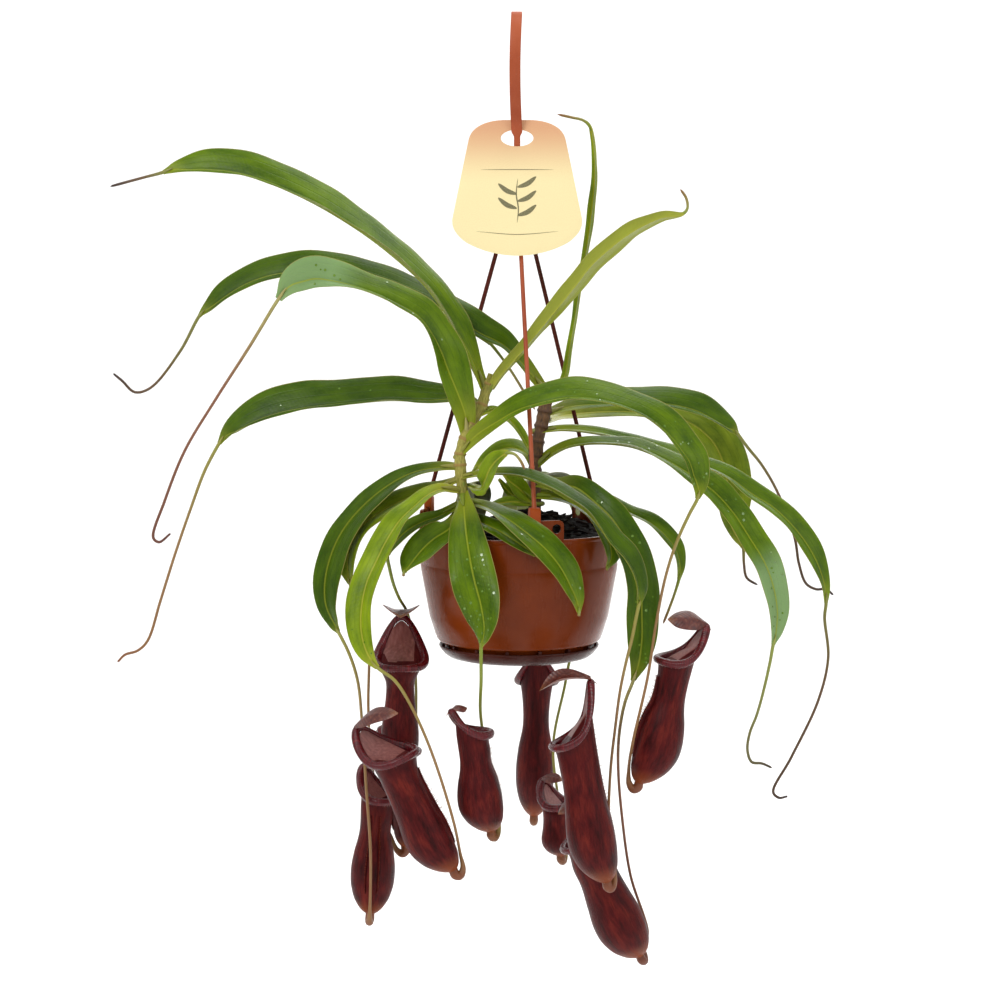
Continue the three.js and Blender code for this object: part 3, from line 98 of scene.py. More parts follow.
# The fourth number on a blade is how wide it shows from the front; the rest of its true width is
# turned out of sight. side is 1 where the leaf leans to the left and -1 to the right. rib moves the
# midrib, as a share of the half width, on leaves that show little of one side. pitcher names the
# jug on the tendril's end, finish and tendril_finish the looks, and drops counts drops of water.
LEAVES = [
    # Upper leaves of the left stem.
    dict(side=1, width=24, rib=0.66, tendril_finish="dark",
         blade=[[-24, 99, -21, 6], [-28, 111, -22, 6.5], [-34, 130, -22, 10], [-42.5, 150, -21, 12],
                [-59, 174, -19, 10.5], [-80, 194, -15, 9.5], [-110, 217.5, -8, 12.5],
                [-150, 241, 0, 15.5], [-190, 256, 7, 17.5], [-220, 258.5, 11, 15.5],
                [-237, 255, 13, 9], [-249, 250, 14, 3]],
         tendril=[[-262, 246.5, 15], [-275, 243, 16], [-286, 240, 17]]),
    dict(side=-1, width=22, rib=-0.35, finish="bright",
         blade=[[-20, 99, -21, -5.5], [-14.5, 108.5, -20, -6.5], [-5, 120, -19, -7.5],
                [7, 134, -18, -8.5], [21, 151, -17, -10], [37.5, 170, -16, -13],
                [52, 187.5, -14, -14], [75.5, 207.5, -10, -11.5], [87, 214, -8, -10],
                [101, 219.5, -7, -7], [115, 221, -6, -2.5]],
         tendril=[[118, 225, -5], [117, 232, -4], [113, 238, -4]]),
    dict(side=1, width=25, rib=0.42, finish="pale", tendril_finish="brown", drops=16,
         blade=[[-36, 66, -29, 9], [-37.5, 80, -34, 15], [-41, 95, -39, 19], [-44.5, 110, -43, 22],
                [-48, 125, -46, 20.5], [-55, 140, -49, 17], [-66.5, 154.5, -52, 15.5],
                [-85, 165, -55, 13.5], [-105, 173.5, -58, 12.5], [-130, 180, -62, 18],
                [-146, 180, -64, 22], [-159, 173.5, -65, 18], [-168.5, 161, -66, 4]],
         tendril=[[-188, 129, -68], [-213, 90, -72], [-234, 55, -74], [-248, 20, -75],
                  [-256, -6, -75], [-252, -9, -75], [-244, -3, -75]]),
    dict(side=1, width=27, rib=0.62, finish="dark", tendril_finish="tan", drops=6,
         blade=[[-27, 86, -24, 5], [-40, 93, -17, 9], [-60, 96, -9, 15], [-90, 99, -2, 17],
                [-120, 97, 4, 18], [-150, 94, 7, 20], [-172, 89.5, 9, 20], [-191, 81, 10, 16],
                [-203, 71, 10, 9], [-210, 60, 10, 3]],
         tendril=[[-220, 41, 9], [-230, 14, 8], [-241, -18, 6], [-251, -50, 5], [-260, -78, 5],
                  [-267, -85, 5], [-276, -88, 5], [-281, -93, 5]]),
    # The leaf that crosses in front of both stems.
    dict(side=-1, width=25, rib=-0.5, pitcher="j", tendril_finish="tan", drops=34,
         blade=[[-42, 53, -30, 5], [-32, 65, -38, 10.5], [-18, 76.5, -48, 11], [-2, 88, -56, 12],
                [15, 95, -62, 14.5], [35, 99, -66, 16], [55, 98, -68, 14], [73, 93.5, -70, 13],
                [92.5, 85.5, -71, 14], [108, 73.5, -72, 16], [119, 60, -72, 15.5],
                [125, 50, -72, 16], [127, 40, -71, 13.5], [127, 30, -70, 9.5], [125, 21.5, -69, 3]],
         tendril=[[119.5, 11, -68], [112.5, -4, -67], [106.5, -20, -66], [101.5, -38, -66],
                  [96, -66, -68], [90, -104, -70], [79.5, -150, -70]]),
    # Lower leaves of the left stem, to the left.
    dict(side=1, width=24, rib=-0.3, pitcher="c", finish="dark", tendril_finish="tan",
         blade=[[-43, 44, -30, 5], [-55, 44.5, -24, 6.5], [-72, 42, -20, 8], [-90, 33, -16, 12],
                [-107, 19.5, -12, 14], [-122, 1, -9, 18], [-131, -18, -7, 19],
                [-135.5, -38, -6, 18], [-135, -54, -8, 14], [-130, -66, -11, 7],
                [-126.5, -72, -14, 3]],
         tendril=[[-119, -87, -20], [-113, -106, -27], [-110, -134, -36], [-107, -180, -44],
                  [-104, -225, -47]]),
    dict(side=1, width=22, pitcher="d", finish="olive", tendril_finish="tan",
         blade=[[-43, 35, -30, 4.5], [-55, 31, -23, 6], [-68, 28, -20, 9], [-82, 23, -16, 11.5],
                [-97, 15, -12, 14], [-110, 5.5, -9, 15.5], [-119, -8, -6, 14.5],
                [-122, -20, -4, 13], [-121, -30, -2, 9], [-118.5, -38, 0, 3]],
         tendril=[[-113, -48, 0], [-107, -60, 1], [-104.5, -76, 1], [-105, -98, 0],
                  [-105.5, -125, -1], [-103, -165, -2], [-94, -205, -3]]),
    dict(side=1, width=24, pitcher="b", finish="bright", tendril_finish="tan", drops=6,
         blade=[[-43.5, 28, -35, 5], [-54, 29.5, -42, 6], [-65, 26, -50, 8], [-76, 17.5, -58, 10],
                [-86, 8, -66, 13], [-95, -6, -72, 16.5], [-102, -20, -78, 16], [-109, -36, -83, 17],
                [-112.5, -54, -87, 17], [-112, -72, -91, 16], [-107, -87, -94, 11],
                [-99, -97, -95, 3]],
         tendril=[[-87, -106, -96], [-76, -123, -99], [-62, -154, -103], [-46, -204, -104]]),
    dict(side=1, width=15, pitcher="a",
         blade=[[-42, 18, -32, 5], [-55, 11, -38, 6], [-68, 7, -41, 8], [-80, 0, -44, 10],
                [-88, -9, -46, 8], [-92, -18, -48, 3]],
         tendril=[[-90.5, -28, -47], [-88, -38, -45], [-84, -48, -38], [-78, -59, -25],
                  [-74, -80, -19], [-72, -120, -20], [-74, -150, -25]]),
    dict(side=1, width=22,
         blade=[[-42, 13, -34, 6], [-49, 2, -52, 14], [-60, -5, -57, 19], [-70, -14, -66, 18.5],
                [-77, -22.5, -72, 12], [-80.5, -30, -75, 2.5]],
         tendril=[[-81, -33, -76]]),
    # Lower leaves of the left stem, to the front and to the right.
    dict(side=1, width=31, fold=0.16, pitcher="e", drops=40,
         blade=[[-39.5, 24, -33, 6], [-38.5, 10, -54, 18], [-37, -6, -70, 25],
                [-34.5, -22, -80, 29.5], [-31, -38, -86, 31], [-28, -52, -89, 27],
                [-26, -66, -91, 19], [-26, -76, -92, 8], [-26.5, -82, -92, 2.5]],
         tendril=[[-26.5, -105, -90], [-27, -128, -76], [-24, -150, -68], [-16, -190, -68]]),
    dict(side=-1, width=25, drops=14,
         blade=[[-37, 20, -31, 5], [-27, 18.5, -38, 5], [-15, 14.5, -62, 8.5], [-2, 7, -79, 13.5],
                [10, -2.5, -88, 17.5], [21, -12.5, -92, 19], [31, -25, -94, 18.5],
                [38, -38, -94, 14.5], [41.5, -48, -93, 9], [42, -58, -92, 2.5]],
         tendril=[[42, -61, -92]]),
    dict(side=-1, width=16,
         blade=[[-38, 11, -33, 5], [-27, 7, -50, 8], [-14, 1, -69, 11], [-2, -7, -75, 11],
                [12, -18, -77, 3]],
         tendril=[[14, -20, -77]]),
    dict(side=-1, width=20, rib=-0.45, pitcher="h", finish="dark", tendril_finish="tan",
         blade=[[-41, 37, -31, 4], [-28, 39.5, -46, 4], [-12, 41.5, -60, 5], [4, 40.5, -72, 6],
                [20, 35, -80, 6.5], [36, 25.8, -85, 6.5], [50, 17, -88, 7], [60, 6, -90, 9],
                [69, -6, -91, 10], [78, -16, -91, 10.5], [84.5, -28, -90, 9.5], [87, -40, -89, 7.5],
                [85.5, -48, -88, 4.5], [84, -53, -87, 2.5]],
         tendril=[[82, -62, -86], [79, -77, -84], [75, -93, -80], [71, -112, -74],
                  [67.5, -138, -66], [64, -170, -64], [63, -212, -64]]),
    dict(side=-1, width=15, finish="bright",
         blade=[[-34, 31, -30, 4], [-28, 29, -50, 6], [-26, 33.5, -66, 10], [-21.5, 43, -74, 12.5],
                [-15.5, 50, -81, 9], [-8, 53.5, -84, 4]],
         tendril=[[-3, 52.5, -86], [1, 48, -88], [4, 42, -90]]),
    dict(side=-1, width=12, finish="bright",
         blade=[[-29, 80, -27, 4], [-20, 84, -25, 5], [-12, 82, -23, 6], [-4, 76, -22, 6],
                [2, 68, -22, 5.5], [6, 60, -22, 4], [7, 56, -22, 2]],
         tendril=[[8, 52, -22]]),
    # Upper leaves of the right stem.
    dict(side=1, width=24, rib=0.4, finish="dark", tendril_finish="dark",
         blade=[[19, 96, 6, 6], [12, 106, 6, 8], [3, 119, 5, 9], [-9, 133, 2, 12.5],
                [-26, 143, -2, 16.5], [-48, 158, 1, 14], [-75, 170, 11, 14], [-105, 181, 19, 16],
                [-140, 187, 27, 17], [-172, 184, 33, 16.5], [-193, 176.5, 37, 14],
                [-209, 165.5, 39, 11.5], [-218, 156, 40, 7], [-224, 149, 40, 2.5]],
         tendril=[[-237, 125, 42], [-258, 99, 44], [-269, 96, 45], [-278, 104, 45],
                  [-284, 109, 45]]),
    dict(side=-1, width=14, rib=0.4, finish="bright",
         blade=[[20, 88, 5, 4], [27, 98, 5, 4], [32, 108, 6, 5], [34.5, 125, 9, 4.5],
                [37.8, 145, 13, 3.6], [41.5, 170, 19, 3.8], [46.8, 199, 26, 4.8],
                [50, 222, 30, 4.8], [52.2, 243, 34, 5], [52.3, 260, 38, 3.4], [51, 275, 41, 2.4],
                [49, 283, 42, 2]],
         tendril=[[44.5, 286.5, 42], [37, 288.3, 42], [27, 290.5, 42]]),
    dict(side=-1, width=24, rib=-0.4, finish="dark", tendril_finish="dark",
         blade=[[20, 82, 6, 5], [38, 88, 14, 9], [60, 92, 22, 12], [85, 93.5, 30, 13],
                [108, 93, 37, 15], [127, 88, 42, 15.5], [141, 80, 46, 12], [149, 73, 48, 8],
                [153, 67, 50, 3]],
         tendril=[[160, 57.5, 51], [170, 45, 53], [181, 26, 54], [193, -6, 54], [196, -24, 54],
                  [201, -38, 54], [208, -42, 54], [215, -42, 54], [220, -46, 54]]),
    dict(side=-1, width=28, rib=-0.3, finish="olive", tendril_finish="dark",
         blade=[[18, 76, 8, 5], [35, 82, 54, 10], [70, 86, 72, 14], [100, 86, 80, 18],
                [123, 79, 85, 23], [139, 65, 88, 27], [148, 47, 89, 27], [151, 28, 90, 26],
                [151, 11, 90, 21], [154, -3, 90, 12], [157, -13, 90, 3]],
         tendril=[[157.5, -24, 90], [159.5, -34, 90], [167, -39, 90]]),
    dict(side=-1, width=24, tendril_finish="dark",
         blade=[[13, 69, 4, 4], [30, 71.5, 4, 4], [50, 70.5, 5, 5], [75, 66, 8, 5],
                [100, 58.5, 11, 6], [125, 50, 14, 8], [148, 40, 17, 9], [165, 27.5, 19, 12],
                [181, 17, 21, 13.5], [195, 3, 22, 13], [205.5, -12, 23, 13.5], [212, -26, 24, 10.5],
                [215.3, -40, 24, 5.5], [215, -52, 24, 2.5]],
         tendril=[[214, -62, 24], [216.5, -90, 24], [209.5, -120, 24], [190.5, -160, 24],
                  [178, -184, 24], [182, -188, 24], [188, -187, 24]]),
    dict(side=-1, width=25, finish="pale", tendril_finish="olive", drops=30,
         blade=[[13, 46, 2, 5], [22, 54, -4, 6], [37, 61, -10, 5.5], [58, 63.5, -16, 5],
                [80, 61.5, -20, 6], [100, 54, -24, 9], [120, 42.5, -29, 13], [138, 29, -33, 17],
                [152, 13.5, -37, 18], [164, -5, -40, 18], [174, -22, -43, 18],
                [180, -40, -44, 17.5], [182.5, -58, -44, 13.5], [181, -71, -44, 8],
                [178, -81, -44, 2.5]],
         tendril=[[176, -92, -44], [171.5, -112, -44], [166.5, -130, -44], [161.5, -143, -44],
                  [160, -155, -44], [163, -163, -44], [170, -164, -44], [177, -167, -44]]),
    # Lower leaves of the right stem.
    dict(side=-1, width=25, pitcher="i", finish="dark", tendril_finish="brown", drops=26,
         blade=[[12, 33, 2, 6], [26, 32, -18, 10], [40, 30, -36, 17], [54, 20, -50, 20],
                [67, 8, -58, 21], [77, -8, -63, 22], [84, -25, -65, 21], [87.5, -42, -66, 21.5],
                [87, -60, -65, 22], [86, -78, -62, 20], [84, -93, -58, 13], [80, -106, -53, 3]],
         tendril=[[74, -122, -46], [70, -145, -38], [69.5, -168, -30], [72, -200, -22],
                  [78, -242, -18], [90, -284, -20]]),
    dict(side=-1, width=20,
         blade=[[13, 28, 4, 5], [40, 27, 12, 7], [62, 21, 18, 8], [80, 13.5, 22, 7],
                [94, 6.5, 25, 9.5], [105, -3, 27, 10], [112, -13, 28, 8.5], [114, -24, 28, 6],
                [112, -35, 28, 2.5]],
         tendril=[[109, -45, 28], [105, -56, 28], [101, -66, 28]]),
    dict(side=-1, width=18,
         blade=[[12, 24, 0, 5], [28, 23, -13, 6], [42, 18, -26, 7], [53, 10, -37, 8],
                [61, -1, -45, 10], [66, -12, -49, 11], [66, -20, -49, 8], [62, -27, -49, 2]],
         tendril=[[61.5, -29, -49]]),
    dict(side=1, width=18, finish="bright",
         blade=[[11, 42, 4, 5], [6, 54, 12, 8], [-3, 59, 19, 9], [-13, 58, 24, 9.5],
                [-23, 51, 27, 8], [-31, 42, 29, 3]],
         tendril=[[-35, 37, 29]]),
    # Leaves at the back, mostly hidden from the front.
    dict(side=1, width=23, pitcher="f",
         blade=[[8, 32, 6], [4, 38, 32], [1, 30, 62], [-4, 8, 92], [-6, -18, 104], [-2, -44, 106]],
         tendril=[[3, -64, 106], [9, -90, 106], [14, -120, 106], [18, -160, 106]]),
    dict(side=1, width=23, pitcher="g",
         blade=[[13.5, 39, 6], [26, 40, 30], [40, 27, 60], [50, 4, 88], [54, -20, 100],
                [50, -46, 100]],
         tendril=[[44, -68, 94], [36, -90, 82], [32, -110, 72], [24, -151, 62], [28, -190, 58],
                  [34, -215, 52]]),
    dict(side=1, width=24,
         blade=[[-39, 32, -30], [-34, 34, 0], [-31, 26, 34], [-36, 8, 68], [-42, -18, 86],
                [-44, -46, 90]],
         tendril=[[-43, -56, 90], [-40, -66, 90]]),
    dict(side=1, width=13,
         blade=[[-23, 94, -18, 3], [-31, 113, -4, 3], [-40, 132, 8, 4], [-45, 146, 18, 6],
                [-38, 148, 22, 8], [-29, 139, 22, 8], [-20, 130, 20, 3]],
         tendril=[[-12, 120, 16], [-5, 110, 12], [3, 97, 8], [11, 84, -4]]),
]

# The young leaves at the foot of the right stem.
SHOOT = [
    dict(width=15, side=1, blade=[[10, 20, -1, 5], [0, 30, -12, 13], [-10, 38, -20, 3]]),
    dict(width=9, side=1, blade=[[9, 18, -2, 3], [-5, 20, -20, 7], [-19, 18, -30, 2]]),
    dict(width=7, side=1, blade=[[9, 19, 0, 3], [-5, 25, -9, 6], [-14, 35, -13, 2]]),
]


# ---------- curves ----------


def place(spots):
    """Points that show at [across, up] from the eye, at their depths."""
    across, up, depth = np.array(spots, float).T
    shown = stacked(across, up * math.sin(VIEW_TILT), up * math.cos(VIEW_TILT))
    sight = shown - EYE
    return EYE + sight * ((depth - EYE[1]) / sight[:, 1])[:, None]


def stacked(*parts):
    """Vectors from their parts: numbers and arrays that are spread to one shape."""
    return np.stack(np.broadcast_arrays(*parts), -1)


def around(count):
    """Evenly spaced angles of a full turn."""
    return np.linspace(0, 2 * np.pi, count, endpoint=False)


def unit(vectors):
    return vectors / np.maximum(np.linalg.norm(vectors, axis=-1, keepdims=True), 1e-9)


def square_to(direction, tangent):
    return unit(direction - np.sum(direction * tangent, -1, keepdims=True) * tangent)


def step(values, low, high):
    """A smooth step from 0 at low to 1 at high."""
    share = np.clip((np.asarray(values, float) - low) / (high - low), 0, 1)
    return share * share * (3 - 2 * share)


def softened(values, reach):
    """Values along a curve, each averaged with its neighbours."""
    weights = np.hanning(2 * reach + 3)[1:-1]
    return np.convolve(np.pad(values, reach, mode="edge"), weights / weights.sum(), mode="valid")


def travelled(points):
    """How far along the curve each point lies."""
    return np.append(0, np.linalg.norm(np.diff(points, axis=0), axis=1).cumsum())


def profile(at, spots, values):
    """A smooth line through values given at spots."""
    spots, values = np.asarray(spots, float), np.asarray(values, float)
    slopes = np.gradient(values, spots)
    low = np.clip(np.searchsorted(spots, at, side="right") - 1, 0, len(spots) - 2)
    run = spots[low + 1] - spots[low]
    t = np.clip((at - spots[low]) / run, 0, 1)
    rise = values[low + 1] - values[low]
    bend = (slopes[low] * run - rise) * (1 - t) - (slopes[low + 1] * run - rise) * t
    return values[low] + rise * t + t * (1 - t) * bend


def spline(points, spots):
    """Points and directions on the smooth curve through points; spots count along them."""
    ends = np.vstack([2 * points[0] - points[1], points, 2 * points[-1] - points[-2]])
    low = np.clip(np.floor(spots).astype(int), 0, len(points) - 2)
    t = (spots - low)[:, None]
    p0, p1, p2, p3 = (ends[low + k] for k in range(4))
    d0, d1, d2 = (np.sqrt(np.linalg.norm(b - a, axis=1))[:, None]
                  for a, b in ((p0, p1), (p1, p2), (p2, p3)))
    m1 = ((p1 - p0) / d0 - (p2 - p0) / (d0 + d1) + (p2 - p1) / d1) * d1
    m2 = ((p2 - p1) / d1 - (p3 - p1) / (d1 + d2) + (p3 - p2) / d2) * d1
    square = 3 * (p2 - p1) - 2 * m1 - m2
    cube = 2 * (p1 - p2) + m1 + m2
    at = p1 + m1 * t + square * t**2 + cube * t**3
    return at, unit(m1 + 2 * square * t + 3 * cube * t**2)


def carried(tangents, start):
    """A direction square to each tangent, carried along the curve without twisting."""
    sides = []
    for tangent in tangents:
        start = square_to(start, tangent)
        sides.append(start)
    return np.array(sides)


# ---------- meshes ----------

SHARP = math.radians(42)  # edges that turn by more than this are shaded sharp
TUBE_START = np.array([0.31, 0.87, 0.38])  # where a tube's pattern starts on its round


def in_metres(points):
    """Points of the plant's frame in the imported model's frame."""
    return (points - np.array([HUB["x"], 0, HANGING_DROP])) * 0.001


def in_scene(name, data):
    """A mesh, lamp or camera as an object of the scene."""
    made = bpy.data.objects.new(name, data)
    bpy.context.scene.collection.objects.link(made)
    return made


class Skin:
    """Gathers surfaces into one mesh. Each point carries two pattern coordinates."""

    def __init__(self):
        self.points, self.first, self.second = [], [], []
        self.faces, self.slots, self.count = [], [], 0

    def add(self, points, faces, slot=0, first=0, second=0):
        points = np.reshape(points, (-1, 3))
        self.points.append(points)
        for gathered, values in ((self.first, first), (self.second, second)):
            spread = np.zeros_like(points) if np.isscalar(values) else np.reshape(values, (-1, 3))
            gathered.append(spread)
        self.faces.extend([[corner + self.count for corner in face] for face in faces])
        self.slots.extend([slot] * len(faces))
        self.count += len(points)

    def loft(self, rings, slot=0, first=0, second=0, capped=True, closed=True):
        """A skin over rings of equally many points, or over rows of them where it isn't closed."""
        rings = np.asarray(rings)
        rows, columns = rings.shape[:2]
        spans = np.arange(columns if closed else columns - 1)
        i, k = np.meshgrid(np.arange(rows - 1), spans, indexing="ij")
        a, b = i * columns + k, i * columns + (k + 1) % columns
        faces = stacked(a, b, b + columns, a + columns).reshape(-1, 4).tolist()
        if capped:
            faces.append(list(range(columns)))
            faces.append([(rows - 1) * columns + k for k in range(columns)])
        self.add(rings, faces, slot, first, second)

    def tube(self, centres, radii, slot=0, sides=10, second=0):
        """A round tube; its first pattern coordinate is [turn's cosine and sine, length].

        second holds one pattern coordinate for each centre.
        """
        steps = np.diff(centres, axis=0)
        tangents = unit(np.vstack([steps[:1], steps[:-1] + steps[1:], steps[-1:]]))
        normals = carried(tangents, TUBE_START)
        others = np.cross(tangents, normals)
        cosine, sine = np.cos(around(sides)), np.sin(around(sides))
        outward = cosine[:, None] * normals[:, None] + sine[:, None] * others[:, None]
        radii = np.broadcast_to(radii, len(centres))[:, None, None]
        first = stacked(cosine, sine, travelled(centres)[:, None])
        if not np.isscalar(second):
            second = np.repeat(second[:, None], sides, 1)
        self.loft(centres[:, None] + radii * outward, slot, first, second)

    def piece(self, name, materials, node, finish):
        """The gathered mesh as a piece of the scene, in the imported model's metres."""
        mesh = bpy.data.meshes.new(name)
        mesh.from_pydata(in_metres(np.vstack(self.points)).tolist(), [], self.faces)
        for label, values in (("first", self.first), ("second", self.second)):
            pattern = mesh.attributes.new(label, "FLOAT_VECTOR", "POINT")
            pattern.data.foreach_set("vector", np.vstack(values).ravel())
        for material in materials:
            mesh.materials.append(material)
        mesh.polygons.foreach_set("material_index", self.slots)
        body = bmesh.new()
        body.from_mesh(mesh)
        bmesh.ops.recalc_face_normals(body, faces=body.faces)
        body.to_mesh(mesh)
        body.free()
        mesh.shade_smooth()
        mesh.set_sharp_from_angle(angle=SHARP)
        made = in_scene(name, mesh)
        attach(made, "root")
        if node:
            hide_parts(node)


# ---------- leaves ----------

# Columns across a blade as shares of its half width: close together by the midrib and the edges.
HALF_COLUMNS = [0.03, 0.07, 0.13, 0.24, 0.4, 0.58, 0.76, 0.9, 0.975, 1]
COLUMNS = np.array([-u for u in reversed(HALF_COLUMNS)] + [0] + HALF_COLUMNS)
# base is the width at the foot, full and taper the shares of the length between which the blade is
# widest, and powers shape its tip. fold, belly and curl are shares of the half width, and the curl
# starts at curl_from. The rest are millimetres.
BLADE = dict(base=0.3, full=0.45, taper=0.55, powers=(2.6, 0.8), fold=0.34, fold_power=1.25,
             belly=0.06, curl=0.05, curl_from=0.8, thick=0.42, edge=0.14, groove=0.4, rib=0.75,
             rib_reach=0.75, step=3.2, least_rows=24)
SOFTENED = dict(width=3, turn=4)  # how many neighbours even out a blade's width and turn
# The edges' waves: their height at a half width, and their lengths over 2 pi.
WAVES = dict(height=0.5, half=11, phase=1.7, right=9.5, left=11.3, both=5.1, both_height=0.5)
# Where the waves and the midrib's shift fade, as shares of the length from the base and the tip.
WAVE_ENDS = ((0.08, 0.3), (0.04, 0.2))
RIB_ENDS = ((0.05, 0.3), (0.01, 0.14))
# Radii at spots along a tendril, and its foot, which swells over foot_reach into the jug.
TENDRIL = dict(start=1.25, middle=1.0, tip=0.75, spots=[0, 0.3, 0.85, 1], foot=3.2, foot_reach=12,
               foot_end=2.5, point=0.4, in_blade=0.95, step=1.6, least_rows=10)
OUT_OF_BLADE = [0.2, 0.45, 0.7, 0.9]  # the tendril's growth inside the blade's tip
# The tendril's last turn below a pitcher, out along its front and up from its foot.
HOOK_UNDER = [[9, 9], [6.4, -1], [2.6, -4.2], [0.1, -2.2], [0, -0.3]]
# The stalk in a blade's base: along from the base, and radii as shares of the leaf's width.
STALK = dict(along=[-5, -2, 2, 7, 13], radii=np.array([0.075, 0.095, 0.09, 0.06, 0.02]), sides=14)
DROPS = dict(rows=(0.25, 0.92), columns=[3, 4, 5, 6, 7, 13, 14, 15, 16, 17], radius=(0.35, 1.0),
             wide=1.05, high=0.72, rings=(-0.25, 0, 0.35, 0.75, 1.15, 1.5), sides=10)
LEAF_SLOTS = dict(blade=0, tendril=1, water=2)


def wrapped(upper, lower):
    """Rings that run over an upper surface and back under a lower one."""
    return np.concatenate([upper, lower[:, ::-1]], 1)


def blade_width(share):
    """Half the width as a share of the widest half."""
    rise = np.sin(np.minimum(share / BLADE["full"], 1) * np.pi / 2)
    near_tip = np.maximum(share - BLADE["taper"], 0) / (1 - BLADE["taper"])
    blunt, round_off = BLADE["powers"]
    taper = np.clip(1 - near_tip**blunt, 0, 1) ** round_off
    return (BLADE["base"] + (1 - BLADE["base"]) * rise) * taper


def fading(share, ends):
    """1 along the middle of a blade, and down to 0 towards its base and its tip."""
    base, tip = ends
    return (step(share, *base) * step(1 - share, *tip))[:, None]


def blade_faces(leaf, share, points, tangents):
    """Half widths along the blade and the directions of its upper face."""
    half = np.maximum(leaf["width"] / 2 * blade_width(share), TENDRIL["start"])
    if len(leaf["blade"][0]) < 4:
        return half, carried(tangents, np.array([0.0, 0.0, 1.0]))
    spots = np.linspace(0, 1, len(leaf["blade"]))
    seen = profile(share, spots, [spot[3] for spot in leaf["blade"]]) / 2
    half = softened(np.maximum(half, np.abs(seen)), SOFTENED["width"])
    turn = softened(np.arccos(np.clip(seen / half, -1, 1)), SOFTENED["turn"])[:, None]
    sight = unit(points - EYE)
    outward = leaf["side"] * unit(np.cross(sight, tangents))
    return half, unit(square_to(-sight, tangents) * np.cos(turn) + outward * np.sin(turn))


def blade_grid(leaf, seed, share, points, tangents):
    """The blade's upper and lower surfaces and how far each column is from the midrib."""
    half, face = blade_faces(leaf, share, points, tangents)
    across = np.cross(face, tangents)
    u, reach = COLUMNS[None, :], half[:, None]
    rib = leaf.get("rib", 0) * fading(share, RIB_ENDS)
    off = u * (1 - rib * np.sign(u)) * reach
    height = -leaf.get("fold", BLADE["fold"]) * (1 - np.abs(u) ** BLADE["fold_power"])
    height = height + BLADE["belly"] * np.sin(np.pi * np.abs(u))
    height = height - BLADE["curl"] * step(np.abs(u), BLADE["curl_from"], 1)
    along, phase = travelled(points)[:, None], seed * WAVES["phase"]
    wave = (np.sin(along / WAVES["right"] + phase) * (u > 0)
            + np.sin(along / WAVES["left"] + 2 * phase + 1) * (u < 0)
            + WAVES["both_height"] * np.sin(along / WAVES["both"] + 3 * phase))
    fade = fading(share, WAVE_ENDS)
    height = reach * (height + WAVES["height"] / WAVES["half"] * wave * fade * u**2)
    near = np.exp(-((u * reach / BLADE["rib_reach"]) ** 2))
    thick = BLADE["edge"] + (BLADE["thick"] - BLADE["edge"]) * (1 - u**2)
    middle = points[:, None] + across[:, None] * (rib * reach + off)[..., None]
    levels = (height + thick - BLADE["groove"] * near * fade, height - thick - BLADE["rib"] * near)
    upper, lower = (middle + face[:, None] * level[..., None] for level in levels)
    return upper, lower, off


def add_leaf(skin, leaf, seed):
    """A blade with its stalk, its tendril and its drops of water."""
    points = place([spot[:3] for spot in leaf["blade"] + leaf["tendril"]])
    tip = len(leaf["blade"]) - 1
    length = travelled(points[: tip + 1])[-1]
    share = np.linspace(0, 1, max(BLADE["least_rows"], int(length / BLADE["step"])))
    if "pitcher" in leaf:
        jug = Jug(PITCHERS[leaf["pitcher"]])
        under = [jug.foot + jug.front * out + jug.up * rise for out, rise in HOOK_UNDER]
        points = np.vstack([points, under])
    at, tangents = spline(points, share * tip)
    upper, lower, off = blade_grid(leaf, seed, share, at, tangents)
    lower_side = np.repeat([0, 1], len(COLUMNS))
    first = stacked(wrapped(off, off), travelled(at)[:, None], lower_side)
    second = stacked(np.append(COLUMNS, COLUMNS[::-1]), share[:, None], seed)
    skin.loft(wrapped(upper, lower), LEAF_SLOTS["blade"], first, second)
    stalk = at[0] + np.outer(STALK["along"], tangents[0])
    skin.tube(stalk, STALK["radii"] * leaf["width"], LEAF_SLOTS["tendril"], STALK["sides"])
    if leaf["tendril"]:
        add_tendril(skin, points, tip, jug.up if "pitcher" in leaf else None)
    add_drops(skin, upper, leaf.get("drops", 0), seed)


def add_tendril(skin, points, tip, jug_up):
    """The tendril past a blade's tip, which swells into a jug's foot or ends in a point."""
    last = len(points) - 1
    count = max(TENDRIL["least_rows"], int(travelled(points[tip:])[-1] / TENDRIL["step"]))
    inside = np.linspace(tip * TENDRIL["in_blade"], tip, len(OUT_OF_BLADE) + 1)[:-1]
    spots = np.append(inside, np.linspace(tip, last, count))
    centres = spline(points, spots)[0]
    share = np.clip((spots - tip) / (last - tip), 0, 1)
    radii = np.interp(share, TENDRIL["spots"], [TENDRIL["start"], TENDRIL["middle"],
                                                TENDRIL["middle"], TENDRIL["tip"]])
    radii[:len(inside)] *= OUT_OF_BLADE
    if jug_up is None:
        radii[-1] *= TENDRIL["point"]
    else:
        far = travelled(centres)
        left = (far[-1] - far) / TENDRIL["foot_reach"]
        radii = radii + (TENDRIL["foot"] - TENDRIL["tip"]) * np.exp(-(left**2))
        centres = np.vstack([centres, centres[-1] + jug_up * TENDRIL["foot_end"]])
        radii, share = np.append(radii, radii[-1]), np.append(share, 1)
    foot = np.clip((radii - TENDRIL["middle"]) / (TENDRIL["foot"] - TENDRIL["middle"]), 0, 1)
    skin.tube(centres, radii, LEAF_SLOTS["tendril"], second=stacked(foot, share, 0))


